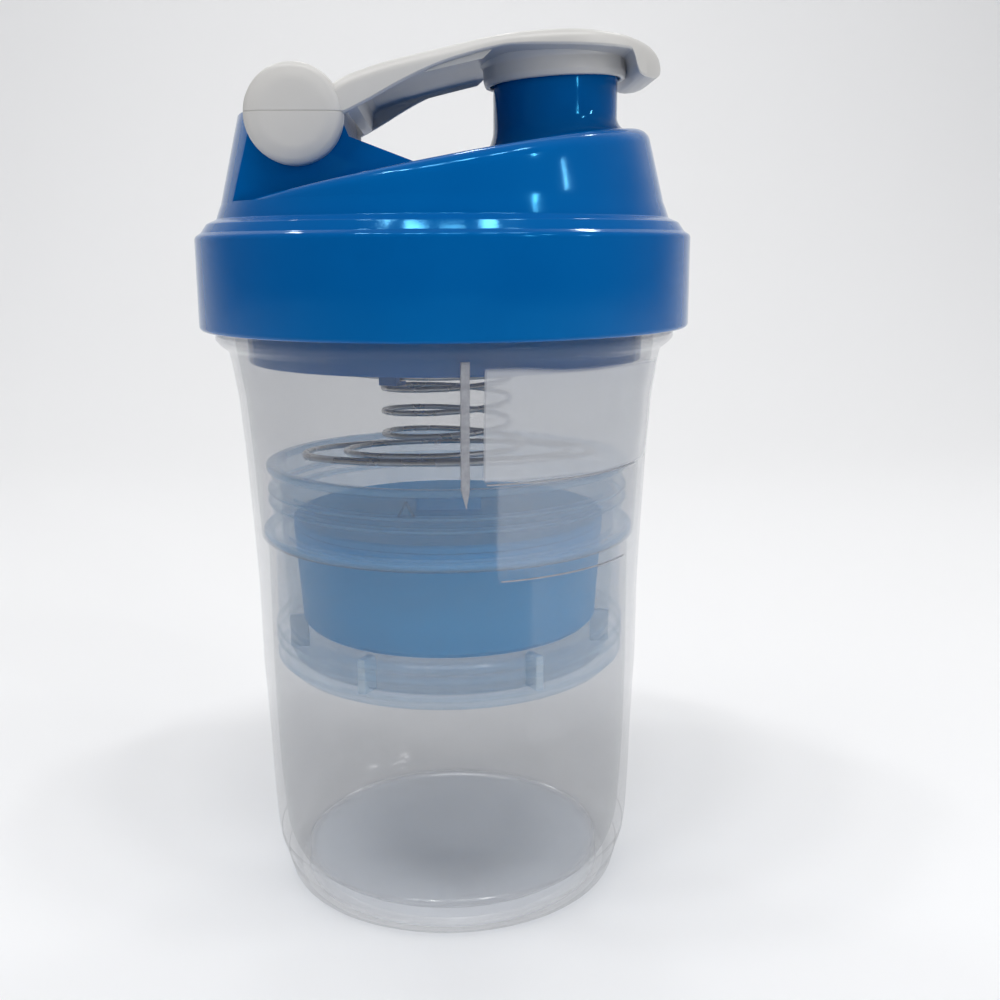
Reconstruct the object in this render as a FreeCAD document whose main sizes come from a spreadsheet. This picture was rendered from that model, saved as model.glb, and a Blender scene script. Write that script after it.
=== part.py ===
import FreeCAD, Part
import math
import os
import Sketcher
from FreeCAD import Rotation, Vector

# Protein shaker bottle: a tapered translucent cup with a four-start thread at its neck, a
# screw lid with a slanted top, spout and hinge bracket, a flip cap on a cross pin, a strainer
# disc with a wire mixer spring under the lid, and a storage jar with a covered tray nested in
# the cup. Millimetres, +Z up, origin at the centre of the base, spout towards +X, hinge
# towards -X.

doc = FreeCAD.newDocument("shaker")
sheet = doc.addObject("Spreadsheet::Sheet", "P")

SIZES = [
    # cup
    ("cup_wall", 1.4),
    ("base_rad", 34.3),
    ("foot_rad", 38.0),
    ("foot_top", 7.5),
    ("low_rad", 39.3),
    ("low_top", 19.4),
    ("mid_rad", 40.5),
    ("mid_top", 55.0),
    ("ledge_top", 76.3),
    ("ledge_rad", 38.4),
    ("upper_rad", 41.8),
    ("upper_top", 90.0),
    ("neck_low_rad", 43.2),
    ("neck_low_top", 107.6),
    ("collar_start", 115.0),
    ("collar_start_rad", 44.5),
    ("collar_rad", 47.0),
    ("collar_top", 118.2),
    ("neck_rad", 44.8),
    ("neck_in_rad", 43.1),
    ("rim_top", 133.0),
    ("floor_thick", 2.2),
    ("base_recess", 1.2),
    # thread
    ("thread_lead", 36.0),
    ("thread_rise", 9.0),
    ("thread_low", 122.8),
    ("thread_root", 2.2),
    ("thread_crest", 1.3),
    ("cup_crest_rad", 46.6),
    ("lid_crest_rad", 45.4),
    ("thread_gap", 2.0),
    # lid
    ("skirt_rad", 50.0),
    ("skirt_in_rad", 47.4),
    ("skirt_low", 119.1),
    ("skirt_top", 137.2),
    ("ceiling", 135.4),
    ("cone_low", 141.0),
    ("cone_low_rad", 45.1),
    ("cone_top", 170.0),
    ("cone_top_rad", 38.1),
    ("sleeve_rad", 40.6),
    ("sleeve_in_rad", 38.9),
    ("sleeve_low", 112.4),
    ("slope_mid", 150.4),
    ("slope_rise", 0.19),
    ("roof_thick", 2.4),
    ("crest_round", 1.8),
    ("spout_pos", 22.7),
    ("spout_rad", 12.5),
    ("spout_in_rad", 10.4),
    ("spout_top", 169.6),
    ("spout_round", 6.0),
    # hinge
    ("hinge_pos", -27.1),
    ("hinge_high", 158.9),
    ("knuckle_rad", 8.4),
    ("knuckle_half", 21.0),
    ("drum_rad", 9.05),
    ("drum_in", 21.4),
    ("drum_out", 26.0),
    ("pin_rad", 2.5),
    ("pin_play", 0.05),
    ("pin_half", 24.0),
    # flip cap
    ("head_rad", 21.0),
    ("plate_low", 171.4),
    ("cap_skirt_rad", 14.3),
    ("cap_skirt_in", 13.1),
    ("cap_skirt_low", 167.0),
    ("arm_wall", 2.0),
    # seal and gasket
    ("seal_rad", 12.2),
    ("plug_rad", 10.0),
    ("gasket_in", 41.3),
    ("gasket_out", 44.7),
    ("gasket_low", 133.1),
    ("gasket_top", 135.3),
    # strainer and spring
    ("holder_rad", 38.8),
    ("holder_low", 112.4),
    ("holder_thick", 1.6),
    ("hub_rad", 24.0),
    ("clip_rad", 12.2),
    ("wire_rad", 0.6),
    ("coil_rad", 13.3),
    ("coil_pitch", 5.0),
    # jar and tray
    ("jar_low", 47.7),
    ("jar_top", 91.5),
    ("jar_rad", 36.9),
    ("jar_wall", 1.5),
    ("jar_rim_rad", 38.2),
    ("flange_rad", 39.3),
    ("flange_low", 76.4),
    ("tray_low", 56.8),
    ("tray_top", 78.2),
    ("tray_rad", 33.0),
    ("tray_low_rad", 31.6),
    ("tray_wall", 1.4),
    ("tray_lid_top", 79.8),
]
V = {}
for row, (name, value) in enumerate(SIZES, 1):
    sheet.set("A%d" % row, name)
    sheet.set("B%d" % row, str(value))
    sheet.setAlias("B%d" % row, name)
    V[name] = value
doc.recompute()


def val(expr):
    """The number that an expression of sheet names stands for."""
    if isinstance(expr, (int, float)):
        return float(expr)
    total, sign, term = 0.0, 1.0, ""
    tokens = expr.replace("-", " - ").replace("+", " + ").split()
    for tok in tokens + ["+"]:
        if tok in "+-" and len(tok) == 1:
            if term:
                total += sign * term_value(term)
                term = ""
                sign = 1.0
            sign = -1.0 if tok == "-" else 1.0
        else:
            term = tok
    return total


def term_value(term):
    out = 1.0
    for factor in term.split("*"):
        out *= V[factor] if factor in V else float(factor)
    return out


def bound(expr):
    """The same expression, as the document reads it."""
    out = expr.replace("-", " - ").replace("+", " + ").split()
    words = []
    for tok in out:
        words.append("*".join(("P." + f) if f in V else f for f in tok.split("*")))
    return " ".join(words)


def plane(body, role):
    for feature in body.Origin.OriginFeatures:
        if feature.Role == role:
            return feature


def new_body(name):
    body = doc.addObject("PartDesign::Body", name)
    body.Label = name
    return body


def new_sketch(body, name, role="XZ_Plane", offset=None):
    sketch = body.newObject("Sketcher::SketchObject", name)
    sketch.AttachmentSupport = [(plane(body, role), "")]
    sketch.MapMode = "FlatFace"
    if offset is not None:
        sketch.AttachmentOffset = FreeCAD.Placement(Vector(*offset), Rotation())
    return sketch


def pin_point(sketch, geo, pos, px, py):
    """Holds one point of a sketch at sizes that come from the sheet."""
    for kind, expr in (("DistanceX", px), ("DistanceY", py)):
        number = val(expr)
        if abs(number) < 1e-9:
            sketch.addConstraint(
                Sketcher.Constraint(
                    "PointOnObject", geo, pos, -2 if kind == "DistanceX" else -1
                )
            )
            continue
        index = sketch.addConstraint(
            Sketcher.Constraint(kind, -1, 1, geo, pos, number)
        )
        if isinstance(expr, str):
            sketch.setExpression("Constraints[%d]" % index, bound(expr))


def outline(sketch, points):
    """A closed outline of straight lines through points whose places come from the sheet."""
    count = len(points)
    for i, p in enumerate(points):
        q = points[(i + 1) % count]
        a = Vector(val(p[0]), val(p[1]), 0)
        b = Vector(val(q[0]), val(q[1]), 0)
        geo = sketch.addGeometry(Part.LineSegment(a, b), False)
        if i:
            sketch.addConstraint(Sketcher.Constraint("Coincident", geo - 1, 2, geo, 1))
        pin_point(sketch, geo, 1, p[0], p[1])
    sketch.addConstraint(Sketcher.Constraint("Coincident", count - 1, 2, 0, 1))


def circle(sketch, cx, cy, radius):
    geo = sketch.addGeometry(
        Part.Circle(Vector(val(cx), val(cy), 0), Vector(0, 0, 1), val(radius)), False
    )
    pin_point(sketch, geo, 3, cx, cy)
    index = sketch.addConstraint(Sketcher.Constraint("Radius", geo, val(radius)))
    if isinstance(radius, str):
        sketch.setExpression("Constraints[%d]" % index, bound(radius))


def revolve(body, name, points):
    sketch = new_sketch(body, name + "_profile")
    outline(sketch, points)
    feature = body.newObject("PartDesign::Revolution", name)
    feature.Profile = sketch
    feature.ReferenceAxis = (sketch, ["V_Axis"])
    feature.Angle = 360
    doc.recompute()
    return feature


def groove(body, name, points):
    sketch = new_sketch(body, name + "_profile")
    outline(sketch, points)
    before = body.Tip.Shape.Volume
    feature = body.newObject("PartDesign::Groove", name)
    feature.Profile = sketch
    feature.ReferenceAxis = (sketch, ["V_Axis"])
    feature.Angle = 360
    doc.recompute()
    print("  groove", name, round(before - feature.Shape.Volume, 1))
    return feature


def pad(body, name, sketch, length, midplane=False, reverse=False):
    feature = body.newObject("PartDesign::Pad", name)
    feature.Profile = sketch
    feature.SideType = "Symmetric" if midplane else "One side"
    feature.Length = val(length)
    if isinstance(length, str):
        feature.setExpression("Length", bound(length))
    feature.Reversed = reverse
    doc.recompute()
    return feature


def pocket(body, name, sketch, length, midplane=False, reverse=False):
    before = body.Tip.Shape.Volume
    feature = body.newObject("PartDesign::Pocket", name)
    feature.Profile = sketch
    feature.SideType = "Symmetric" if midplane else "One side"
    feature.Length = val(length)
    if isinstance(length, str):
        feature.setExpression("Length", bound(length))
    feature.Reversed = reverse
    doc.recompute()
    print("  pocket", name, round(before - feature.Shape.Volume, 1))
    return feature


def helix(body, name, points, count):
    """A thread rib with a trapezoid section, repeated round the axis."""
    sketch = new_sketch(body, name + "_section")
    outline(sketch, points)
    feature = body.newObject("PartDesign::AdditiveHelix", name)
    feature.Profile = sketch
    feature.ReferenceAxis = (sketch, ["V_Axis"])
    feature.Mode = "pitch-height-angle"
    feature.Pitch = V["thread_lead"]
    feature.setExpression("Pitch", "P.thread_lead")
    feature.Height = V["thread_rise"]
    feature.setExpression("Height", "P.thread_rise")
    feature.Angle = 0
    feature.LeftHanded = False
    feature.Reversed = False
    doc.recompute()
    pattern = body.newObject("PartDesign::PolarPattern", name + "_pattern")
    pattern.Originals = [feature]
    pattern.Axis = (sketch, ["V_Axis"])
    pattern.Angle = 360
    pattern.Occurrences = count
    body.Tip = pattern
    doc.recompute()
    return pattern


def edges_where(shape, test):
    return ["Edge%d" % i for i, e in enumerate(shape.Edges, 1) if test(e)]


def fillet(body, name, test, radius):
    base = body.Tip
    names = edges_where(base.Shape, test)
    print("  fillet", name, len(names), "edges")
    feature = body.newObject("PartDesign::Fillet", name)
    feature.Base = (base, names)
    feature.Radius = val(radius)
    if isinstance(radius, str):
        feature.setExpression("Radius", bound(radius))
    doc.recompute()
    return feature


def at_height(edge, z, tol=0.05):
    box = edge.BoundBox
    return abs(box.ZMin - z) < tol and abs(box.ZMax - z) < tol


# ---------------------------------------------------------------- cup
cup = new_body("cup")
revolve(
    cup,
    "cup_wall_turn",
    [
        (0, "base_recess"),
        ("base_rad-3.3", "base_recess"),
        ("base_rad-2.4", 0.35),
        ("base_rad-1.7", 0),
        ("base_rad", 0),
        ("base_rad+2.0", 1.5),
        ("base_rad+2.7", 4.5),
        ("foot_rad", "foot_top"),
        ("foot_rad+0.7", "foot_top+3.2"),
        ("foot_rad+1.0", "foot_top+6.1"),
        ("low_rad", "low_top"),
        ("mid_rad", "mid_top"),
        ("mid_rad+0.2", "mid_top+14.0"),
        ("upper_rad", "upper_top"),
        ("neck_low_rad", "neck_low_top"),
        ("collar_start_rad", "collar_start"),
        ("collar_rad", "collar_top-1.0"),
        ("collar_rad", "collar_top"),
        ("neck_rad", "collar_top"),
        ("neck_rad", "rim_top-0.4"),
        ("neck_rad-0.4", "rim_top"),
        ("neck_in_rad+0.4", "rim_top"),
        ("neck_in_rad", "rim_top-0.4"),
        ("neck_in_rad", "collar_start"),
        ("neck_low_rad-cup_wall", "neck_low_top"),
        ("upper_rad-cup_wall", "upper_top"),
        ("mid_rad+0.65-cup_wall", "ledge_top"),
        ("ledge_rad", "ledge_top"),
        ("ledge_rad", "mid_top-8.0"),
        ("low_rad-cup_wall-0.4", "low_top"),
        ("foot_rad-cup_wall-0.4", "foot_top+2.4"),
        ("foot_rad-cup_wall-1.9", "foot_top-1.8"),
        ("foot_rad-cup_wall-4.6", "base_recess+floor_thick"),
        (0, "base_recess+floor_thick"),
    ],
)
helix(
    cup,
    "cup_thread",
    [
        ("neck_rad-0.3", "thread_low-0.5*thread_root"),
        ("cup_crest_rad", "thread_low-0.5*thread_crest"),
        ("cup_crest_rad", "thread_low+0.5*thread_crest"),
        ("neck_rad-0.3", "thread_low+0.5*thread_root"),
    ],
    4,
)

# ---------------------------------------------------------------- storage jar
jar = new_body("storage_jar")
revolve(
    jar,
    "jar_turn",
    [
        (0, "jar_low+0.8"),
        ("jar_rad-4.4", "jar_low+0.8"),
        ("jar_rad-3.4", "jar_low"),
        ("jar_rad-2.0", "jar_low"),
        ("jar_rad-0.9", "jar_low+0.9"),
        ("jar_rad-0.5", "jar_low+2.0"),
        ("jar_rad+0.5", "jar_low+2.4"),
        ("jar_rad+0.5", "jar_low+3.2"),
        ("jar_rad-0.4", "jar_low+3.7"),
        ("jar_rad-0.4", "jar_low+5.4"),
        ("jar_rad+0.6", "jar_low+5.9"),
        ("jar_rad+0.6", "jar_low+6.6"),
        ("jar_rad-0.3", "jar_low+7.1"),
        ("jar_rad-0.3", "jar_low+7.9"),
        ("jar_rad+0.6", "jar_low+8.3"),
        ("jar_rad+0.6", "jar_low+9.3"),
        ("jar_rad", "jar_low+9.8"),
        ("jar_rad", "flange_low"),
        ("flange_rad", "flange_low"),
        ("flange_rad", "flange_low+1.2"),
        ("jar_rad+0.3", "flange_low+1.6"),
        ("jar_rad+0.3", "jar_top-8.4"),
        ("jar_rad+1.1", "jar_top-8.2"),
        ("jar_rad+1.1", "jar_top-7.6"),
        ("jar_rad+0.3", "jar_top-7.4"),
        ("jar_rad+0.3", "jar_top-6.0"),
        ("jar_rad+1.1", "jar_top-5.8"),
        ("jar_rad+1.1", "jar_top-5.2"),
        ("jar_rad+0.3", "jar_top-5.0"),
        ("jar_rad+0.3", "jar_top-1.6"),
        ("jar_rim_rad", "jar_top-1.2"),
        ("jar_rim_rad", "jar_top-0.3"),
        ("jar_rim_rad-0.3", "jar_top"),
        ("jar_rad-jar_wall+0.5", "jar_top"),
        ("jar_rad-jar_wall+0.3", "jar_top-0.4"),
        ("jar_rad-jar_wall", "flange_low"),
        ("jar_rad-jar_wall-0.7", "jar_low+4.0"),
        ("jar_rad-jar_wall-2.4", "jar_low+2.3"),
        (0, "jar_low+2.3"),
    ],
)
rest_sketch = new_sketch(jar, "tray_rest_sketch", "XY_Plane", (0, 0, V["jar_low"] + 1.8))
outline(
    rest_sketch,
    [
        (28.5, -0.8),
        ("jar_rad-jar_wall+0.5", -0.8),
        ("jar_rad-jar_wall+0.5", 0.8),
        (28.5, 0.8),
    ],
)
rest = pad(jar, "tray_rest", rest_sketch, "tray_low-jar_low-2.0")
rests = jar.newObject("PartDesign::PolarPattern", "tray_rests")
rests.Originals = [rest]
rests.Axis = (rest_sketch, ["N_Axis"])
rests.Angle = 360
rests.Occurrences = 6
jar.Tip = rests
doc.recompute()

# ---------------------------------------------------------------- tray with its cover
tray = new_body("pill_tray")
revolve(
    tray,
    "tray_turn",
    [
        (0, "tray_low"),
        ("tray_low_rad-1.0", "tray_low"),
        ("tray_low_rad", "tray_low+1.0"),
        ("tray_rad", "tray_top"),
        ("tray_rad-tray_wall", "tray_top"),
        ("tray_low_rad-tray_wall", "tray_low+2.4"),
        ("tray_low_rad-tray_wall-1.0", "tray_low+1.4"),
        (0, "tray_low+1.4"),
    ],
)
for label, wide, deep in (("divider_long", 63.0, 1.2), ("divider_cross", 1.2, 63.0)):
    wall = new_sketch(tray, label + "_sketch", "XY_Plane", (0, 0, V["tray_low"] + 1.0))
    outline(
        wall,
        [
            (-wide / 2, -deep / 2),
            (wide / 2, -deep / 2),
            (wide / 2, deep / 2),
            (-wide / 2, deep / 2),
        ],
    )
    pad(tray, label, wall, "tray_top-tray_low-3.4")
tray_lid = new_body("tray_lid")
revolve(
    tray_lid,
    "tray_lid_turn",
    [
        (0, "tray_lid_top-1.3"),
        ("tray_rad-tray_wall-1.6", "tray_lid_top-1.3"),
        ("tray_rad-tray_wall-1.5", "tray_lid_top-3.2"),
        ("tray_rad-tray_wall-0.3", "tray_lid_top-3.2"),
        ("tray_rad-tray_wall-0.15", "tray_lid_top-1.45"),
        ("tray_rad", "tray_lid_top-1.45"),
        ("tray_rad", "tray_lid_top-0.4"),
        ("tray_rad-0.4", "tray_lid_top"),
        (0, "tray_lid_top"),
    ],
)
tab = new_sketch(tray_lid, "tray_lid_tab_sketch", "XY_Plane", (0, 0, V["tray_lid_top"] - 0.3))
outline(tab, [(-7, -0.8), (7, -0.8), (7, 0.8), (-7, 0.8)])
pad(tray_lid, "tray_lid_tab", tab, 3.6)
fillet(
    tray_lid,
    "tray_lid_tab_round",
    lambda e: e.BoundBox.ZMin > V["tray_lid_top"] + 0.01
    or (e.BoundBox.ZMax > V["tray_lid_top"] + 1 and e.BoundBox.XLength < 0.1 and e.BoundBox.YLength < 0.1),
    0.6,
)

# ---------------------------------------------------------------- lid gasket
gasket = new_body("lid_gasket")
revolve(
    gasket,
    "gasket_turn",
    [
        ("gasket_in", "gasket_low+0.3"),
        ("gasket_in+0.3", "gasket_low"),
        ("gasket_out-0.3", "gasket_low"),
        ("gasket_out", "gasket_low+0.3"),
        ("gasket_out", "gasket_top-0.3"),
        ("gasket_out-0.3", "gasket_top"),
        ("gasket_in+0.3", "gasket_top"),
        ("gasket_in", "gasket_top-0.3"),
    ],
)

# ---------------------------------------------------------------- lid
shell = new_body("lid_shell")
revolve(
    shell,
    "lid_turn_outer",
    [
        (0, "cone_top"),
        (49, "cone_top"),
        (49, "cone_low"),
        ("cone_low_rad+0.6", "cone_low-0.4"),
        ("skirt_rad-2.3", "skirt_top+2.3"),
        ("skirt_rad-1.2", "skirt_top+1.2"),
        ("skirt_rad-0.8", "skirt_top"),
        ("skirt_rad-0.25", "skirt_top-0.3"),
        ("skirt_rad", "skirt_top-0.9"),
        ("skirt_rad", "skirt_low+0.8"),
        ("skirt_rad-0.25", "skirt_low+0.25"),
        ("skirt_rad-0.8", "skirt_low"),
        ("skirt_in_rad+0.3", "skirt_low"),
        ("skirt_in_rad", "skirt_low+0.3"),
        ("skirt_in_rad", "ceiling"),
        ("sleeve_rad+0.6", "ceiling"),
        ("sleeve_rad", "sleeve_low+0.4"),
        ("sleeve_rad-0.4", "sleeve_low"),
        (0, "sleeve_low"),
    ],
)


def slope(x):
    return V["slope_mid"] + V["slope_rise"] * x


# bracket and slanted roof seen from the side: everything above this line is removed
hx, hz, kr = V["hinge_pos"], V["hinge_high"], V["knuckle_rad"]
roof = new_sketch(shell, "roof_sketch")
left_z = hz + 1.2
fin_x, fin_z = -17.4, 155.2
meet = (slope(0) - (fin_z + 0.375 * fin_x)) / (-0.375 - V["slope_rise"])
outline(
    roof,
    [
        (-60, left_z),
        (hx, left_z),
        (hx, hz),
        (hx + kr, hz),
        (fin_x, fin_z),
        (meet, slope(meet)),
        (60, "slope_mid+60*slope_rise"),
        (60, 185),
        (-60, 185),
    ],
)
pocket(shell, "roof_cut", roof, 140, midplane=True)
for label, shift, back in (("near", V["knuckle_half"], False), ("far", -V["knuckle_half"], True)):
    wing = new_sketch(shell, "wing_sketch_" + label, "XZ_Plane", (0, 0, shift))
    outline(
        wing,
        [
            (-60, "slope_mid-60*slope_rise"),
            (meet + 0.5, slope(meet + 0.5)),
            (meet + 0.5, 185),
            (-60, 185),
        ],
    )
    pocket(shell, "wing_cut_" + label, wing, 40, reverse=not back)
knuckle = new_sketch(shell, "knuckle_sketch", "XZ_Plane")
circle(knuckle, "hinge_pos", "hinge_high", "knuckle_rad")
pad(shell, "knuckle", knuckle, "2*knuckle_half", midplane=True)
spout = new_sketch(shell, "spout_sketch", "XY_Plane", (0, 0, 146))
circle(spout, "spout_pos", 0, "spout_rad")
pad(shell, "spout", spout, "spout_top-146")
fillet(
    shell,
    "spout_foot",
    lambda e: abs(e.BoundBox.XLength - 2 * V["spout_rad"]) < 0.3
    and abs(e.BoundBox.YLength - 2 * V["spout_rad"]) < 0.3
    and e.BoundBox.ZMax < 162,
    "spout_round",
)
fillet(
    shell,
    "spout_rim",
    lambda e: at_height(e, V["spout_top"]) and e.BoundBox.XLength > 20,
    0.9,
)
groove(
    shell,
    "cone_clip",
    [
        ("cone_low_rad", "cone_low"),
        (70, "cone_low"),
        (70, "cone_top+4"),
        ("cone_top_rad-0.966", "cone_top+4"),
    ],
)


def on_slope(edge):
    """An edge that lies along the slanted roof's outline."""
    points = edge.discretize(9)
    return all(abs(p.z - slope(p.x)) < 0.4 for p in points) and all(
        math.hypot(p.x, p.y) > 38 for p in points
    )


fillet(shell, "crest", on_slope, "crest_round")
helix(
    shell,
    "lid_thread",
    [
        ("skirt_in_rad+0.3", "thread_low-thread_gap-0.5*thread_root"),
        ("lid_crest_rad", "thread_low-thread_gap-0.5*thread_crest"),
        ("lid_crest_rad", "thread_low-thread_gap+0.5*thread_crest"),
        ("skirt_in_rad+0.3", "thread_low-thread_gap+0.5*thread_root"),
    ],
    4,
)
print("lid shell volume", round(shell.Tip.Shape.Volume), shell.Tip.Shape.isValid())


def bind(obj, **props):
    for prop, expr in props.items():
        obj.setExpression(prop.replace("__", "."), bound(expr))


def cylinder(name, radius, height, base=(0, 0, 0), axis=(0, 0, 1)):
    made = doc.addObject("Part::Cylinder", name)
    made.Radius = val(radius)
    made.Height = val(height)
    for prop, expr in (("Radius", radius), ("Height", height)):
        if isinstance(expr, str):
            made.setExpression(prop, bound(expr))
    made.Placement = FreeCAD.Placement(
        Vector(*base), Rotation(Vector(0, 0, 1), Vector(*axis))
    )
    return made


def boolean(kind, name, *parts):
    made = doc.addObject("Part::" + kind, name)
    if kind in ("Cut", "Common"):
        made.Base, made.Tool = parts
    else:
        made.Shapes = list(parts)
    doc.recompute()
    return made


# the lid's inside: a drafted core that stops under the slanted roof, the hollow of the hinge
# bracket, the spout's bore and the cross bore for the pin
core = doc.addObject("Part::Cone", "lid_core")
core.Radius1, core.Radius2, core.Height = V["sleeve_in_rad"], V["sleeve_in_rad"] - 0.9, 60
bind(core, Radius1="sleeve_in_rad", Radius2="sleeve_in_rad-0.9")
core.Placement.Base = Vector(0, 0, V["sleeve_low"] - 0.5)
above = doc.addObject("Part::Box", "above_roof")
above.Length, above.Width, above.Height = 140, 140, 60
tilt = -math.degrees(math.atan(V["slope_rise"]))
turn = Rotation(Vector(0, 1, 0), tilt)
above.Placement = FreeCAD.Placement(
    Vector(0, 0, V["slope_mid"] - V["roof_thick"]) + turn.multVec(Vector(-70, -70, 0)), turn
)
room = boolean("Cut", "lid_room", core, above)
hollow = doc.addObject("Part::Box", "bracket_hollow")
hollow.Length, hollow.Width, hollow.Height = 16, 37, 14
hollow.Placement.Base = Vector(-34.5, -18.5, 138.5)
bore = cylinder("spout_bore", "spout_in_rad", 40, (V["spout_pos"], 0, 140))
pin_bore = cylinder("pin_bore", "pin_rad", 60, (hx, -30, hz), (0, 1, 0))
inside = boolean("MultiFuse", "lid_inside", room, hollow, bore)
hollowed = boolean("Cut", "lid_hollowed", shell, inside)
lid = boolean("Cut", "lid_body", hollowed, pin_bore)

pin = new_body("hinge_pin")
pin_sketch = new_sketch(pin, "pin_sketch", "XZ_Plane")
circle(pin_sketch, "hinge_pos", "hinge_high", "pin_rad")
pad(pin, "pin_pad", pin_sketch, "2*pin_half", midplane=True)
fillet(pin, "pin_ends", lambda e: e.Curve.TypeId == "Part::GeomCircle", 0.5)

# ---------------------------------------------------------------- flip cap
arm = new_body("flip_arm")


def spline(sketch, points):
    curve = Part.BSplineCurve()
    curve.interpolate([Vector(x, z, 0) for x, z in points])
    sketch.addGeometry(curve, False)


def segment(sketch, a, b):
    sketch.addGeometry(Part.LineSegment(Vector(*a, 0), Vector(*b, 0)), False)


TOP = [(-25.0, 160.2), (-19.3, 165.2), (-12.4, 168.2), (-5.1, 170.3), (4.1, 172.5),
       (9.2, 173.6), (16.3, 174.6), (24.4, 175.0), (32.3, 174.6), (38.4, 173.5),
       (42.0, 172.0), (43.7, 170.4)]
LOW = [(-25.0, 157.0), (-19.0, 158.6), (-13.7, 161.2), (-9.3, 163.7), (-4.9, 166.0),
       (-0.5, 167.9), (4.1, 169.4), (10.0, 170.9)]
side = new_sketch(arm, "arm_side")
spline(side, TOP)
segment(side, TOP[-1], (43.7, 169.2))
segment(side, (43.7, 169.2), (42.6, 167.6))
segment(side, (42.6, 167.6), (40.4, 166.8))
segment(side, (40.4, 166.8), (37.6, 167.2))
segment(side, (37.6, 167.2), (36.4, 168.6))
segment(side, (36.4, 168.6), (35.6, V["plate_low"]))
segment(side, (35.6, V["plate_low"]), (15.0, V["plate_low"]))
segment(side, (15.0, V["plate_low"]), LOW[-1])
spline(side, LOW)
segment(side, LOW[0], TOP[0])
pad(arm, "arm_block", side, 64, midplane=True)
plan = new_sketch(arm, "arm_plan", "XY_Plane", (0, 0, 150))
for p, q in (
    ((-40, -40), (60, -40)), ((60, -40), (60, 40)), ((60, 40), (-40, 40)), ((-40, 40), (-40, -40)),
):
    segment(plan, p, q)
hr, sx, di = V["head_rad"], V["spout_pos"], V["drum_in"]
plan.addGeometry(Part.Arc(Vector(sx, -hr, 0), Vector(sx + hr, 0, 0), Vector(sx, hr, 0)), False)
web = hx + V["drum_rad"] + 0.75
SIDE = [(sx, hr), (4.0, 21.2), (-4.5, 21.9), (-13.0, 23.6), (-19.0, 24.9), (-25.5, 25.4)]
for way in (1, -1):
    edge = Part.BSplineCurve()
    edge.interpolate(
        [Vector(x, way * y, 0) for x, y in SIDE],
        InitialTangent=Vector(-1, 0, 0),
        FinalTangent=Vector(-1, 0.02 * way, 0),
    )
    plan.addGeometry(edge, False)
ring = [(-25.5, 25.4), (-25.5, di), (web, di), (web, -di), (-25.5, -di), (-25.5, -25.4)]
for p, q in zip(ring, ring[1:]):
    segment(plan, p, q)
pocket(arm, "arm_outline", plan, 60, reverse=True)
fillet(
    arm,
    "arm_top_round",
    lambda e: e.BoundBox.ZMax > 174.9 and e.BoundBox.XLength > 10,
    1.0,
)

# the channel under the arm, open below, inside its top and side walls
deep_side = doc.addObject("Sketcher::SketchObject", "channel_side")
deep_side.Placement = FreeCAD.Placement(Vector(0, 0, 0), Rotation(Vector(1, 0, 0), 90))
wall = V["arm_wall"]
under = [(x + 0.5, z - wall - 0.2) for x, z in TOP[1:6]]
under[0] = (web + wall, 163.6)
under[-1] = (9.0, under[-1][1])
spline(deep_side, under)
segment(deep_side, under[-1], (9.0, 150))
segment(deep_side, (9.0, 150), (web + wall, 150))
segment(deep_side, (web + wall, 150), under[0])
side_block = doc.addObject("Part::Extrusion", "channel_side_block")
side_block.Base, side_block.Dir, side_block.LengthFwd = deep_side, Vector(0, 1, 0), 60
side_block.Symmetric, side_block.Solid = True, True
deep_plan = doc.addObject("Sketcher::SketchObject", "channel_plan")
deep_plan.Placement.Base = Vector(0, 0, 145)
inner = [(13.0, 21.05 - wall), (4.0, 21.2 - wall), (-4.5, 21.9 - wall), (-13.0, 23.6 - wall), (-17.5, 24.6 - wall)]
inner = inner + [(x, -y) for x, y in reversed(inner)]
for p, q in zip(inner, inner[1:] + inner[:1]):
    segment(deep_plan, p, q)
plan_block = doc.addObject("Part::Extrusion", "channel_plan_block")
plan_block.Base, plan_block.Dir, plan_block.LengthFwd = deep_plan, Vector(0, 0, 1), 40
plan_block.Solid = True
channel = boolean("Common", "channel", side_block, plan_block)
carved = boolean("Cut", "arm_carved", arm, channel)

drums = []
for label, way in (("near", -1), ("far", 1)):
    disc = cylinder(
        "drum_" + label, "drum_rad", "drum_out-drum_in", (hx, way * V["drum_in"], hz), (0, way, 0)
    )
    soft = doc.addObject("Part::Fillet", "drum_soft_" + label)
    soft.Base = disc
    doc.recompute()
    rims = [
        i
        for i, e in enumerate(disc.Shape.Edges, 1)
        if e.BoundBox.YLength < 0.01 and abs(abs(e.BoundBox.YMin) - V["drum_out"]) < 0.01
    ]
    soft.Edges = [(i, 1.6, 1.6) for i in rims]
    drums.append(soft)
tip = 3.4
tip_way = (-math.sin(math.radians(tip)), 0, math.cos(math.radians(tip)))
low = (sx, 0, V["cap_skirt_low"])
collar = cylinder("cap_skirt", "cap_skirt_rad", 5.4, low, tip_way)
collar_bore = cylinder("cap_skirt_bore", "cap_skirt_in", 4.4, low, tip_way)
blank = boolean("MultiFuse", "flip_blank", carved, drums[0], drums[1], collar)
sockets = cylinder("pin_sockets", "pin_rad+pin_play", "2*pin_half+1.0", (hx, -V["pin_half"] - 0.5, hz), (0, 1, 0))
cut_tools = boolean("MultiFuse", "flip_cuts", collar_bore, sockets)
flip = boolean("Cut", "flip_cap", blank, cut_tools)

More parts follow.
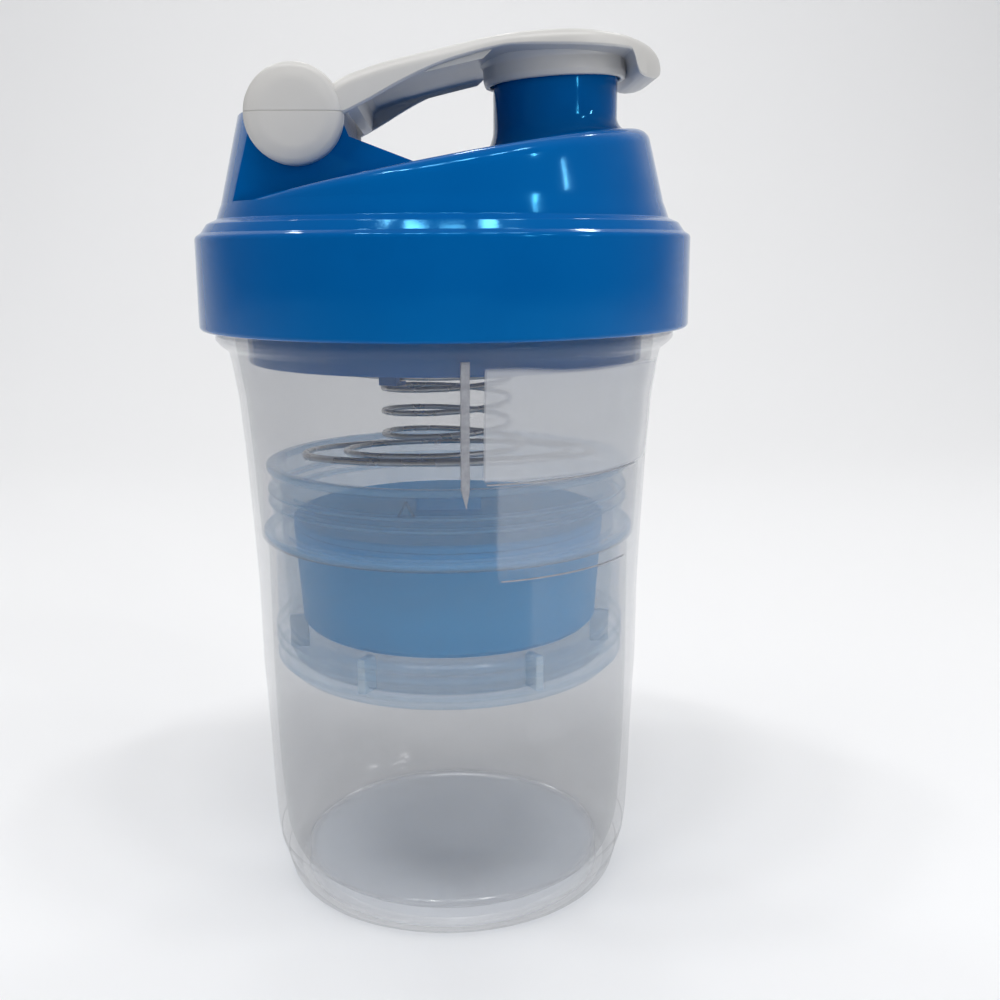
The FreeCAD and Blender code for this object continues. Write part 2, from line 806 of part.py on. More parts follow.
seal = new_body("spout_seal")
seal_sketch = new_sketch(seal, "seal_profile", "XZ_Plane", (V["spout_pos"], 0, 0))
outline(
    seal_sketch,
    [
        (0, "spout_top+0.45"),
        ("plug_rad-1.2", "spout_top+0.45"),
        ("plug_rad-0.4", "spout_top+0.2"),
        ("seal_rad-0.3", "spout_top+0.2"),
        ("seal_rad", "spout_top+0.4"),
        ("seal_rad", "plate_low-1.0"),
        ("seal_rad-0.2", "plate_low-0.8"),
        (0, "plate_low-0.8"),
    ],
)
seal_turn = seal.newObject("PartDesign::Revolution", "seal_turn")
seal_turn.Profile = seal_sketch
seal_turn.ReferenceAxis = (seal_sketch, ["V_Axis"])
seal_turn.Angle = 360
doc.recompute()

# ---------------------------------------------------------------- strainer disc under the lid
holder = new_body("spring_holder")
revolve(
    holder,
    "holder_hub",
    [
        (0, "holder_low"),
        ("hub_rad-0.4", "holder_low"),
        ("hub_rad", "holder_low+0.4"),
        ("hub_rad", "holder_low+holder_thick"),
        (0, "holder_low+holder_thick"),
    ],
)
ring_sketch = new_sketch(holder, "holder_plate_sketch", "XY_Plane", (0, 0, V["holder_low"]))
circle(ring_sketch, 0, 0, "holder_rad-0.1")
circle(ring_sketch, 0, 0, "hub_rad-1.0")
pad(holder, "holder_plate", ring_sketch, "holder_thick")
slot_sketch = new_sketch(holder, "slot_sketch", "XY_Plane", (0, 0, V["holder_low"] - 1))
a0, a1 = math.radians(4.5), math.radians(31.5)
inner_r, outer_r = V["hub_rad"] + 1.0, V["holder_rad"] - 2.6
corners = []
for k in range(5):
    ang = a0 + (a1 - a0) * k / 4
    corners.append((outer_r * math.cos(ang), outer_r * math.sin(ang)))
for k in range(5):
    ang = a1 - (a1 - a0) * k / 4
    corners.append((inner_r * math.cos(ang), inner_r * math.sin(ang)))
for p, q in zip(corners, corners[1:] + corners[:1]):
    segment(slot_sketch, p, q)
slot = pocket(holder, "slot", slot_sketch, 6, reverse=True)
slots = holder.newObject("PartDesign::PolarPattern", "slots")
slots.Originals = [slot]
slots.Axis = (slot_sketch, ["N_Axis"])
slots.Angle = 360
slots.Occurrences = 10
holder.Tip = slots
doc.recompute()
hook_sketch = new_sketch(holder, "hook_sketch")
outline(
    hook_sketch,
    [
        (19.4, "holder_low-3.6"),
        (22.9, "holder_low-3.6"),
        (22.9, "holder_low+0.4"),
        (21.6, "holder_low+0.4"),
        (21.6, "holder_low-2.9"),
        (19.4, "holder_low-2.9"),
    ],
)
hook = pad(holder, "hook", hook_sketch, 4, midplane=True)
hooks = holder.newObject("PartDesign::PolarPattern", "hooks")
hooks.Originals = [hook]
hooks.Axis = (hook_sketch, ["V_Axis"])
hooks.Angle = 360
hooks.Occurrences = 3
holder.Tip = hooks
doc.recompute()

# ---------------------------------------------------------------- mixer spring
# one flat turn in the hooks, four turns of coil, then a wide tilted spiral with a second,
# narrower turn inside it
def spring_point(turn):
    """Centre of the wire after this many turns."""
    keys = [
        (0.0, 20.5, 111.3, 0.0),
        (0.9, 20.5, 110.2, 0.0),
        (1.5, 13.3, 108.4, 0.0),
        (2.0, 13.3, 106.3, 0.0),
        (3.0, 13.3, 101.4, 0.0),
        (4.0, 13.3, 96.6, 0.0),
        (4.4, 15.5, 94.8, 0.35),
        (5.0, 21.5, 92.9, 0.8),
        (5.6, 26.0, 92.6, 1.0),
        (6.0, 30.0, 92.6, 1.0),
        (6.3, 31.0, 92.6, 1.0),
        (6.95, 31.0, 92.6, 1.0),
    ]
    for (t0, r0, z0, w0), (t1, r1, z1, w1) in zip(keys, keys[1:]):
        if turn <= t1 + 1e-9:
            f = (turn - t0) / (t1 - t0)
            g = f * f * (3 - 2 * f) if r0 != r1 else f
            rad = r0 + (r1 - r0) * g
            high = z0 + (z1 - z0) * f
            lean = w0 + (w1 - w0) * f
            break
    ang = math.radians(180) - 2 * math.pi * (turn - 2.0)
    px, py = rad * math.cos(ang), rad * math.sin(ang)
    return Vector(px, py, high - 0.09 * py * lean)


steps = 168
path = [spring_point(6.95 * k / steps) for k in range(steps + 1)]
wire_curve = Part.BSplineCurve()
wire_curve.interpolate(path)
spine = Part.Wire([wire_curve.toShape()])
first_way = (path[1] - path[0]).normalize()
section = Part.Wire([Part.Circle(path[0], first_way, V["wire_rad"]).toShape()])
sweep = Part.BRepOffsetAPI.MakePipeShell(spine)
sweep.setFrenetMode(False)
sweep.setBiNormalMode(Vector(0, 0, 1))
sweep.add(section)
sweep.build()
sweep.makeSolid()
spring = doc.addObject("Part::Feature", "mixer_spring")
spring.Shape = sweep.shape()
length = wire_curve.length()
print("spring volume ratio", spring.Shape.Volume / (math.pi * V["wire_rad"] ** 2 * length), "length", round(length))

# ---------------------------------------------------------------- checks and files
doc.recompute()
KEPT = {
    "cup": cup,
    "storage_jar": jar,
    "pill_tray": tray,
    "tray_lid": tray_lid,
    "lid_gasket": gasket,
    "lid_body": lid,
    "hinge_pin": pin,
    "flip_cap": flip,
    "spout_seal": seal,
    "spring_holder": holder,
    "mixer_spring": spring,
}
bad = [o.Name for o in doc.Objects if "Invalid" in o.State or "Error" in o.State]
if bad:
    raise RuntimeError("failed objects: %s" % bad)
os.makedirs("parts", exist_ok=True)
for label, obj in KEPT.items():
    obj.Label = label
    shape = obj.Shape
    if shape.isNull() or not shape.isValid() or len(shape.Solids) != 1:
        raise RuntimeError("bad shape: %s" % label)
for label, obj in KEPT.items():
    obj.Shape.exportStep(os.path.join("parts", label + ".step"))
    box = obj.Shape.BoundBox
    print(
        "%-14s %9.0f mm3  x %.1f..%.1f  y %.1f..%.1f  z %.1f..%.1f"
        % (label, obj.Shape.Volume, box.XMin, box.XMax, box.YMin, box.YMax, box.ZMin, box.ZMax)
    )
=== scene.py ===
import math
import random

import bmesh
import bpy
import numpy as np
from mathutils import Matrix, Vector


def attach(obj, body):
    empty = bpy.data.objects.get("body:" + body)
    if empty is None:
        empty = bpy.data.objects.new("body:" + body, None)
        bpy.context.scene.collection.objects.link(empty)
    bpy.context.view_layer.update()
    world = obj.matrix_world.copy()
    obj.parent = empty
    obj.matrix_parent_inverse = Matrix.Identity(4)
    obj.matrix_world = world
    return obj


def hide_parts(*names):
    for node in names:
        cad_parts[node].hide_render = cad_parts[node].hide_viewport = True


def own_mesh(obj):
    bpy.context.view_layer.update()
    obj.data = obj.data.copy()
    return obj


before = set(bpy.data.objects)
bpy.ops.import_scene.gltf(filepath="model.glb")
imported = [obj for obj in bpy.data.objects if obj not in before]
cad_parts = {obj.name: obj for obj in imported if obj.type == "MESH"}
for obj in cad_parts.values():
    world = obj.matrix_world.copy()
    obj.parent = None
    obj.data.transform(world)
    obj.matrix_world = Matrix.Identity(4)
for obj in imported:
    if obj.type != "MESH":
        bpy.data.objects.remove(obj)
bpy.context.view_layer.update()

random.seed(7)
MM = 0.001
TAU = 2 * math.pi


# ------------------------------------------------------------------ mesh helpers
def new_object(name, verts, faces, sharp=38.0, material=None):
    """An object from points in millimetres, smooth shaded, with its hard edges marked."""
    mesh = bpy.data.meshes.new(name)
    mesh.from_pydata([(x * MM, y * MM, z * MM) for x, y, z in verts], [], faces)
    mesh.validate()
    bm = bmesh.new()
    bm.from_mesh(mesh)
    bmesh.ops.remove_doubles(bm, verts=bm.verts, dist=1e-7)
    bmesh.ops.recalc_face_normals(bm, faces=bm.faces)
    bm.to_mesh(mesh)
    bm.free()
    mesh.polygons.foreach_set("use_smooth", [True] * len(mesh.polygons))
    mesh.update()
    if sharp:
        mesh.set_sharp_from_angle(angle=math.radians(sharp))
    obj = bpy.data.objects.new(name, mesh)
    bpy.context.scene.collection.objects.link(obj)
    if material:
        obj.data.materials.append(material)
    return obj


class Build:
    """Collects several shells into one mesh."""

    def __init__(self):
        self.v, self.f = [], []

    def add(self, verts, faces):
        base = len(self.v)
        self.v.extend([tuple(p) for p in verts])
        self.f.extend([tuple(base + i for i in face) for face in faces])

    def loops(self, loops, closed_loop=True, close_ends=None, cyclic=False):
        """Quads between loops with the same number of points."""
        n = len(loops[0])
        verts = [p for loop in loops for p in loop]
        faces = []
        rows = len(loops)
        for r in range(rows if cyclic else rows - 1):
            a, b = r * n, ((r + 1) % rows) * n
            for k in range(n if closed_loop else n - 1):
                q = (k + 1) % n
                faces.append((a + k, a + q, b + q, b + k))
        if close_ends:
            if close_ends in ("both", "start"):
                faces.append(tuple(range(n))[::-1])
            if close_ends in ("both", "end"):
                faces.append(tuple((rows - 1) * n + k for k in range(n)))
        self.add(verts, faces)

    def turn(self, profile, segments=192, centre=(0, 0), closed=False, matrix=None):
        """A surface turned about the vertical through centre. A point with r=0 becomes a pole."""
        verts, faces, rows = [], [], []
        for r, z in profile:
            if abs(r) < 1e-6:
                rows.append([len(verts)])
                verts.append((centre[0], centre[1], z))
            else:
                row = []
                for k in range(segments):
                    t = TAU * k / segments
                    row.append(len(verts))
                    verts.append((centre[0] + r * math.cos(t), centre[1] + r * math.sin(t), z))
                rows.append(row)
        pairs = list(zip(rows, rows[1:]))
        if closed:
            pairs.append((rows[-1], rows[0]))
        for a, b in pairs:
            for k in range(segments):
                q = (k + 1) % segments
                if len(a) == 1 and len(b) == 1:
                    continue
                if len(a) == 1:
                    faces.append((a[0], b[q], b[k]))
                elif len(b) == 1:
                    faces.append((a[k], a[q], b[0]))
                else:
                    faces.append((a[k], a[q], b[q], b[k]))
        if matrix is not None:
            verts = [tuple(matrix @ Vector(p)) for p in verts]
        self.add(verts, faces)

    def thread(self, root, crest, low, lead, rise, wide_root, wide_crest, starts, side=1, steps=40):
        """Helical ribs with a trapezoid section whose ends taper away."""
        for s in range(starts):
            loops = []
            for k in range(steps + 1):
                f = k / steps
                ease = min(1.0, f / 0.08, (1 - f) / 0.08)
                ease = math.sin(max(ease, 0.02) * math.pi / 2)
                ang = TAU * (s / starts + f * rise / lead)
                z = low + rise * f
                c = root + (crest - root) * ease
                loop = []
                for r, dz in ((root - 0.3 * side, -wide_root / 2), (c, -wide_crest / 2), (c, wide_crest / 2), (root - 0.3 * side, wide_root / 2)):
                    loop.append((r * math.cos(ang), r * math.sin(ang), z + dz))
                loops.append(loop)
            self.loops(loops, close_ends="both")

    def make(self, name, sharp=38.0, material=None):
        return new_object(name, self.v, self.f, sharp, material)


def rounded(points, radius=0.4, steps=4, closed=False):
    """Rounds the corners of a polyline of (r, z)."""
    pts = [np.array(p[:2], float) for p in points]
    rads = [p[2] if len(p) > 2 else radius for p in points]
    out = []
    n = len(pts)
    for i in range(n):
        if not closed and i in (0, n - 1):
            out.append(tuple(pts[i]))
            continue
        p, a, b = pts[i], pts[i - 1], pts[(i + 1) % n]
        u, w = a - p, b - p
        lu, lw = np.linalg.norm(u), np.linalg.norm(w)
        if lu < 1e-6 or lw < 1e-6:
            continue
        u, w = u / lu, w / lw
        cosang = float(np.clip(np.dot(u, w), -1, 1))
        ang = math.acos(cosang)
        if ang > math.radians(172) or rads[i] <= 0:
            out.append(tuple(p))
            continue
        d = min(rads[i] / math.tan(ang / 2), 0.48 * lu, 0.48 * lw)
        p0, p1 = p + u * d, p + w * d
        for k in range(steps + 1):
            t = k / steps
            # circular-like blend through a rational quadratic
            wgt = math.sin(ang / 2)
            b0, b1, b2 = (1 - t) ** 2, 2 * t * (1 - t) * wgt, t * t
            q = (b0 * p0 + b1 * p + b2 * p1) / (b0 + b1 + b2)
            out.append(tuple(q))
    return out


def smooth_curve(points, count):
    """Points evenly placed on a Catmull-Rom curve through (a, b, ...) points."""
    p = np.array(points, float)
    p = np.vstack([2 * p[0] - p[1], p, 2 * p[-1] - p[-2]])
    fine = []
    for i in range(1, len(p) - 2):
        for k in range(24):
            t = k / 24
            a, b, c, d = p[i - 1], p[i], p[i + 1], p[i + 2]
            fine.append(0.5 * ((2 * b) + (c - a) * t + (2 * a - 5 * b + 4 * c - d) * t * t + (3 * b - a - 3 * c + d) * t ** 3))
    fine.append(p[-2])
    fine = np.array(fine)
    seg = np.r_[0, np.cumsum(np.linalg.norm(np.diff(fine, axis=0), axis=1))]
    want = np.linspace(0, seg[-1], count)
    return [tuple(np.interp(w, seg, fine[:, j]) for j in range(p.shape[1])) for w in want]


def interp(x, table):
    return float(np.interp(x, [a for a, _ in table], [b for _, b in table]))


# ------------------------------------------------------------------ material helpers
class Mat:
    def __init__(self, name):
        self.m = bpy.data.materials.new(name)
        self.m.use_nodes = True
        self.t = self.m.node_tree
        self.t.nodes.clear()
        self.out = self.node("ShaderNodeOutputMaterial")
        self.coord = self.node("ShaderNodeTexCoord").outputs["Object"]

    def node(self, kind, **props):
        n = self.t.nodes.new(kind)
        for k, v in props.items():
            setattr(n, k, v)
        return n

    def link(self, a, b):
        self.t.links.new(a, b)

    def put(self, socket, value):
        if isinstance(value, bpy.types.NodeSocket):
            self.link(value, socket)
        else:
            socket.default_value = value

    def math(self, op, a, b=0.0, c=0.0, clamp=False):
        n = self.node("ShaderNodeMath", operation=op, use_clamp=clamp)
        self.put(n.inputs[0], a)
        self.put(n.inputs[1], b)
        if op in ("MULTIPLY_ADD", "SMOOTH_MIN", "SMOOTH_MAX"):
            self.put(n.inputs[2], c)
        return n.outputs[0]

    def noise(self, scale, detail=3.0, rough=0.5, stretch=None, distortion=0.0):
        vec = self.coord
        if stretch:
            mp = self.node("ShaderNodeMapping")
            self.link(self.coord, mp.inputs["Vector"])
            mp.inputs["Scale"].default_value = stretch
            vec = mp.outputs[0]
        n = self.node("ShaderNodeTexNoise")
        self.link(vec, n.inputs["Vector"])
        n.inputs["Scale"].default_value = scale
        n.inputs["Detail"].default_value = detail
        n.inputs["Roughness"].default_value = rough
        n.inputs["Distortion"].default_value = distortion
        return n.outputs[0]

    def ramp(self, value, lo, hi, a=0.0, b=1.0, smooth=True):
        n = self.node("ShaderNodeMapRange")
        n.interpolation_type = "SMOOTHSTEP" if smooth else "LINEAR"
        self.put(n.inputs["Value"], value)
        n.inputs["From Min"].default_value = lo
        n.inputs["From Max"].default_value = hi
        n.inputs["To Min"].default_value = a
        n.inputs["To Max"].default_value = b
        return n.outputs[0]

    def mix(self, fac, a, b):
        n = self.node("ShaderNodeMix", data_type="RGBA")
        self.put(n.inputs[0], fac)
        self.put(n.inputs[6], a)
        self.put(n.inputs[7], b)
        return n.outputs[2]

    def bump(self, height, strength, distance, normal=None):
        n = self.node("ShaderNodeBump")
        n.inputs["Strength"].default_value = strength
        n.inputs["Distance"].default_value = distance
        self.link(height, n.inputs["Height"])
        if normal is not None:
            self.link(normal, n.inputs["Normal"])
        return n.outputs[0]

    def axes(self):
        s = self.node("ShaderNodeSeparateXYZ")
        self.link(self.coord, s.inputs[0])
        return s.outputs[0], s.outputs[1], s.outputs[2]

    def shader(self, socket):
        self.link(socket, self.out.inputs["Surface"])
        return self.m


def plastic(name, base, second, rough, rough2, bump=0.15, grain=2600.0, coat=0.0, spec=0.5, scratch=0.3):
    """Moulded plastic: faint cloudy colour, uneven gloss, fine grain, hairline scratches."""
    m = Mat(name)
    cloud = m.noise(38, 4, 0.55)
    fine = m.noise(420, 2, 0.5)
    colour = m.mix(m.ramp(cloud, 0.35, 0.7), (*base, 1), (*second, 1))
    hair = m.noise(60, 6, 0.7, stretch=(1.0, 14.0, 1.6), distortion=0.6)
    hair2 = m.noise(48, 6, 0.7, stretch=(9.0, 1.2, 2.4), distortion=0.5)
    lines = m.math("MAXIMUM", m.ramp(hair, 0.655, 0.70), m.ramp(hair2, 0.665, 0.71))
    r = m.ramp(cloud, 0.3, 0.75, rough, rough2)
    r = m.math("ADD", r, m.math("MULTIPLY", lines, 0.16 * scratch))
    r = m.math("ADD", r, m.math("MULTIPLY", m.ramp(fine, 0.4, 0.8), 0.03))
    p = m.node("ShaderNodeBsdfPrincipled")
    m.link(colour, p.inputs["Base Color"])
    m.link(r, p.inputs["Roughness"])
    p.inputs["Specular IOR Level"].default_value = spec
    p.inputs["Coat Weight"].default_value = coat
    p.inputs["Coat Roughness"].default_value = 0.06
    grainy = m.noise(grain, 2, 0.5)
    soft = m.noise(95, 2, 0.4)
    nrm = m.bump(grainy, bump, 0.00004)
    nrm = m.bump(soft, 0.25, 0.00008, nrm)
    nrm = m.bump(lines, 0.10 * scratch, 0.00003, nrm)
    m.link(nrm, p.inputs["Normal"])
    return m, p


def clear_plastic(name, haze, haze_colour, tint, edge=0.35, gloss=0.16, mask=None, spec=0.5, streak=0.5):
    """Translucent moulded polypropylene: part see-through, part milky, with a glossy skin."""
    m = Mat(name)
    x, y, z = m.axes()
    cloud = m.noise(30, 3, 0.5)
    flow = m.noise(55, 5, 0.6, stretch=(1.0, 1.0, 0.18))
    rub = m.noise(75, 6, 0.7, stretch=(1.2, 1.2, 7.0), distortion=0.5)
    rub_lines = m.ramp(rub, 0.66, 0.72)
    # amount of haze
    h = m.ramp(cloud, 0.3, 0.7, haze * 0.85, haze * 1.15)
    h = m.math("ADD", h, m.math("MULTIPLY", rub_lines, 0.05 * streak))
    h = m.math("ADD", h, m.math("MULTIPLY", m.ramp(flow, 0.45, 0.75), 0.03))
    if mask is not None:
        h = m.math("ADD", h, mask(m, x, y, z))
    lw = m.node("ShaderNodeLayerWeight")
    lw.inputs["Blend"].default_value = 0.25
    h = m.math("ADD", h, m.math("MULTIPLY", lw.outputs["Facing"], edge), clamp=True)
    clear = m.node("ShaderNodeBsdfTransparent")
    clear.inputs["Color"].default_value = (*tint, 1)
    body = m.node("ShaderNodeBsdfPrincipled")
    body.inputs["Base Color"].default_value = (*haze_colour, 1)
    m.link(m.ramp(cloud, 0.3, 0.75, gloss, gloss + 0.10), body.inputs["Roughness"])
    body.inputs["Specular IOR Level"].default_value = spec
    back = m.node("ShaderNodeBsdfTranslucent")
    back.inputs["Color"].default_value = (*haze_colour, 1)
    milky = m.node("ShaderNodeMixShader")
    milky.inputs[0].default_value = 0.35
    m.link(body.outputs[0], milky.inputs[1])
    m.link(back.outputs[0], milky.inputs[2])
    see = m.node("ShaderNodeMixShader")
    m.link(h, see.inputs[0])
    m.link(clear.outputs[0], see.inputs[1])
    m.link(milky.outputs[0], see.inputs[2])
    skin = m.node("ShaderNodeBsdfGlossy")
    skin.inputs["Color"].default_value = (1, 1, 1, 1)
    m.link(m.ramp(cloud, 0.3, 0.75, gloss * 0.6, gloss * 0.6 + 0.08), skin.inputs["Roughness"])
    graze = m.node("ShaderNodeLayerWeight")
    graze.inputs["Blend"].default_value = 0.5
    shine = m.math("ADD", 0.018, m.math("MULTIPLY", m.math("POWER", graze.outputs["Facing"], 5.0), 0.5))
    nrm = m.bump(flow, 0.2, 0.0003)
    nrm = m.bump(m.noise(210, 2, 0.4), 0.12, 0.00006, nrm)
    m.link(nrm, skin.inputs["Normal"])
    m.link(nrm, body.inputs["Normal"])
    m.link(nrm, graze.inputs["Normal"])
    top = m.node("ShaderNodeMixShader")
    m.link(shine, top.inputs[0])
    m.link(see.outputs[0], top.inputs[1])
    m.link(skin.outputs[0], top.inputs[2])
    # light goes through the thin wall almost unhindered
    path = m.node("ShaderNodeLightPath")
    lamp = m.node("ShaderNodeBsdfTransparent")
    lamp.inputs["Color"].default_value = (0.97, 0.97, 0.97, 1)
    final = m.node("ShaderNodeMixShader")
    m.link(m.math("MULTIPLY", path.outputs["Is Shadow Ray"], 0.9), final.inputs[0])
    m.link(top.outputs[0], final.inputs[1])
    m.link(lamp.outputs[0], final.inputs[2])
    m.shader(final.outputs[0])
    return m.m


# ------------------------------------------------------------------ materials
BLUE, BLUE2 = (0.0, 0.094, 0.330), (0.0, 0.101, 0.347)
mb, pb = plastic("lid_blue", BLUE, BLUE2, 0.07, 0.11, bump=0.04, coat=0.0, spec=0.48, scratch=0.5)
pb.inputs["Specular Tint"].default_value = (0.06, 0.6, 1.0, 1.0)
lid_blue = mb.shader(pb.outputs[0])
mb2, pb2 = plastic("tray_blue", (0.0, 0.36, 0.74), (0.0, 0.39, 0.80), 0.35, 0.45, bump=0.1, spec=0.3, scratch=0.4)
tray_blue = mb2.shader(pb2.outputs[0])

mw, pw = plastic("cap_white", (0.56, 0.55, 0.53), (0.585, 0.575, 0.555), 0.34, 0.44, bump=0.22, grain=3400, scratch=0.5)
# the parting line across both drums: a fine groove in the bump, plus painted shade that darkens the colour along it
wx, wy, wz = mw.axes()
line_z = mw.math("ABSOLUTE", mw.math("SUBTRACT", wz, 0.1592))
in_line = mw.ramp(line_z, 0.00004, 0.00014, 1.0, 0.0)
on_drum = mw.math("MULTIPLY", mw.ramp(wx, -0.0181, -0.0179, 1.0, 0.0), mw.ramp(mw.math("ABSOLUTE", wy), 0.0243, 0.0245))
groove_and_shade = mw.math("MULTIPLY", in_line, on_drum)
base_link = pw.inputs["Base Color"].links[0].from_socket
# painted shade: the colour along the parting line is mixed towards a dark grey-brown, standing in for the shade inside
# the groove
mw.link(mw.mix(mw.math("MULTIPLY", groove_and_shade, 0.45), base_link, (0.33, 0.31, 0.28, 1)), pw.inputs["Base Color"])
old = pw.inputs["Normal"].links[0].from_socket
mw.link(mw.bump(mw.math("SUBTRACT", 1.0, groove_and_shade), 0.8, 0.00015, old), pw.inputs["Normal"])
cap_white = mw.shader(pw.outputs[0])

ms, ps = plastic("soft_seal", (0.78, 0.79, 0.79), (0.84, 0.85, 0.85), 0.45, 0.6, bump=0.2, grain=1800, scratch=0.2)
soft_seal = ms.shader(ps.outputs[0])
mp_, pp_ = plastic("pin_white", (0.80, 0.80, 0.78), (0.85, 0.85, 0.83), 0.3, 0.4, bump=0.15, scratch=0.3)
pin_white = mp_.shader(pp_.outputs[0])


def steel(name):
    m = Mat(name)
    p = m.node("ShaderNodeBsdfPrincipled")
    p.inputs["Metallic"].default_value = 1.0
    n = m.noise(900, 3, 0.6)
    b = m.noise(140, 3, 0.5)
    m.link(m.mix(m.ramp(b, 0.35, 0.7), (0.42, 0.42, 0.43, 1), (0.56, 0.56, 0.57, 1)), p.inputs["Base Color"])
    m.link(m.ramp(b, 0.3, 0.7, 0.2, 0.36), p.inputs["Roughness"])
    m.link(m.bump(n, 0.25, 0.00003), p.inputs["Normal"])
    return m.shader(p.outputs[0])


spring_steel = steel("spring_steel")


def cup_mask(m, x, y, z):
    """The frosted print field on the front right of the cup: three steps of plain
    haze. Angle is measured from the front towards the spout side."""
    ang = m.math("ARCTAN2", x, m.math("MULTIPLY", y, -1.0))
    deg = m.math("MULTIPLY", ang, 180 / math.pi)
    radius = m.math("SQRT", m.math("ADD", m.math("MULTIPLY", x, x), m.math("MULTIPLY", y, y)))
    outer = m.ramp(radius, 0.0388, 0.0392)

    def field(a0, a1, z0, z1, soft_a=1.2, soft_z=0.0012):
        f = m.math("MULTIPLY", m.ramp(deg, a0 - soft_a, a0 + soft_a), m.ramp(deg, a1 - soft_a * 3, a1 + soft_a * 3, 1.0, 0.0))
        g = m.math("MULTIPLY", m.ramp(z, z0 - soft_z, z0 + soft_z), m.ramp(z, z1 - soft_z, z1 + soft_z, 1.0, 0.0))
        return m.math("MULTIPLY", f, g)

    wob = m.math("MULTIPLY", m.math("SUBTRACT", m.noise(22, 2, 0.5), 0.5), 0.004)
    z = m.math("ADD", z, wob)
    total = m.math("MULTIPLY", field(9.0, 74, 0.0935, 0.1135, 0.25, 0.0006), 0.50)
    total = m.math("ADD", total, m.math("MULTIPLY", field(12.5, 72, 0.0745, 0.0933, 0.5, 0.001), 0.15))
    total = m.math("ADD", total, m.math("MULTIPLY", field(22, 70, 0.0420, 0.0748, 1.0, 0.002), 0.09))
    low = m.math("MULTIPLY", m.ramp(z, 0.0035, 0.0055, 1.0, 0.0), m.ramp(radius, 0.030, 0.034, 1.0, 0.0))
    return m.math("ADD", m.math("MULTIPLY", total, outer), m.math("MULTIPLY", low, 0.80))


cup_clear = clear_plastic("cup_clear", 0.042, (0.76, 0.775, 0.80), (0.875, 0.878, 0.884), edge=0.06, mask=cup_mask)


def jar_mask(m, x, y, z):
    """Thicker plastic looks milkier: the rings, the flange, the rim and the collar above the flange."""
    total = m.math("MULTIPLY", m.ramp(z, 0.0764, 0.0776), 0.11)
    for z0, z1, much in ((0.0901, 0.0916, 0.24), (0.0855, 0.0863, 0.22), (0.0831, 0.0839, 0.22), (0.0763, 0.0778, 0.30),
                         (0.0559, 0.0571, 0.22), (0.0535, 0.0544, 0.20), (0.0500, 0.0510, 0.20), (0.0476, 0.0486, 0.16)):
        mid, half = (z0 + z1) / 2, (z1 - z0) / 2
        d = m.math("ABSOLUTE", m.math("SUBTRACT", z, mid))
        total = m.math("ADD", total, m.ramp(d, half * 0.7, half * 1.5, much, 0.0))
    return total


jar_clear = clear_plastic("jar_clear", 0.045, (0.32, 0.62, 0.90), (0.955, 0.975, 0.99), edge=0.08, gloss=0.2, mask=jar_mask)
mr, pr = plastic("jar_ribs", (0.62, 0.72, 0.80), (0.66, 0.76, 0.84), 0.4, 0.5, bump=0.1, scratch=0.2)
rib_milky = mr.shader(pr.outputs[0])


def ink(name, colour):
    m = Mat(name)
    p = m.node("ShaderNodeBsdfPrincipled")
    n = m.noise(700, 3, 0.6)
    m.link(m.mix(m.ramp(n, 0.3, 0.7), (*[c * 0.92 for c in colour], 1), (*colour, 1)), p.inputs["Base Color"])
    m.link(m.ramp(n, 0.3, 0.7, 0.3, 0.5), p.inputs["Roughness"])
    m.link(m.bump(n, 0.2, 0.00004), p.inputs["Normal"])
    clear = m.node("ShaderNodeBsdfTransparent")
    mix = m.node("ShaderNodeMixShader")
    m.link(m.ramp(n, 0.2, 0.8, 0.62, 0.82), mix.inputs[0])
    m.link(clear.outputs[0], mix.inputs[1])
    m.link(p.outputs[0], mix.inputs[2])
    return m.shader(mix.outputs[0])


frost = ink("frosted_print", (0.42, 0.43, 0.47))

# ------------------------------------------------------------------ cup
OUTER = [
    (36.3, 1.5), (37.0, 4.5), (38.0, 7.5), (38.7, 10.7), (39.0, 13.6), (39.3, 19.4), (39.5, 25.0),
    (39.65, 31.0), (39.9, 36.5), (40.1, 42.0), (40.4, 47.6), (40.5, 53.0), (40.55, 58.5), (40.6, 64.0),
    (40.75, 69.0), (41.0, 74.5), (41.25, 79.7), (41.55, 85.0), (41.8, 90.0), (42.1, 95.0), (42.5, 100.0),
    (42.85, 105.0), (43.25, 107.6), (43.6, 110.0), (44.0, 112.6), (44.5, 115.0),
]


def cup_radius(z):
    return interp(z, [(b, a) for a, b in OUTER])


wall_out = smooth_curve(OUTER, 90)
foot = [(0, 1.2), (31.0, 1.2, 0.5), (31.9, 0.35, 0.3), (32.6, 0.0, 0.3), (34.3, 0.0, 0.8), (35.9, 0.75, 0.6)]
profile = rounded(foot, 0.5, 4)
# two fine moulded steps above the foot
stepped = []
for r, z in wall_out:
    stepped.append((r, z))
steps_at = [(4.6, 0.22), (9.6, 0.28)]
fine = []
for (r0, z0), (r1, z1) in zip(stepped, stepped[1:]):
    fine.append((r0, z0))
    for zs, depth in steps_at:
        if z0 <= zs < z1:
            f = (zs - z0) / (z1 - z0)
            rs = r0 + (r1 - r0) * f
            fine += [(rs + 0.02, zs - 0.35), (rs - depth, zs - 0.12), (rs - depth, zs + 0.12), (rs + 0.02, zs + 0.35)]
fine.append(stepped[-1])
profile += sorted(fine, key=lambda p: p[1])
neck = [(44.5, 115.0), (46.2, 116.2, 1.2), (47.0, 117.2, 0.4), (47.0, 118.2, 0.3), (44.8, 118.2, 0.4), (44.8, 133.0, 0.5), (43.1, 133.0, 0.5), (43.1, 116.0, 2.0)]
profile += rounded(neck, 0.4, 4)[1:-1]
inner = [(43.1, 116.0)] + [(cup_radius(z) - 1.4, z) for z in (112, 108, 104, 100, 96, 92, 88, 84, 80, 78)]
profile += smooth_curve(inner, 40)
ledge = [(cup_radius(78) - 1.4, 78), (39.65, 76.3, 0.35), (38.4, 76.3, 0.5), (38.4, 72.0)]
profile += rounded(ledge, 0.3, 4)[1:]
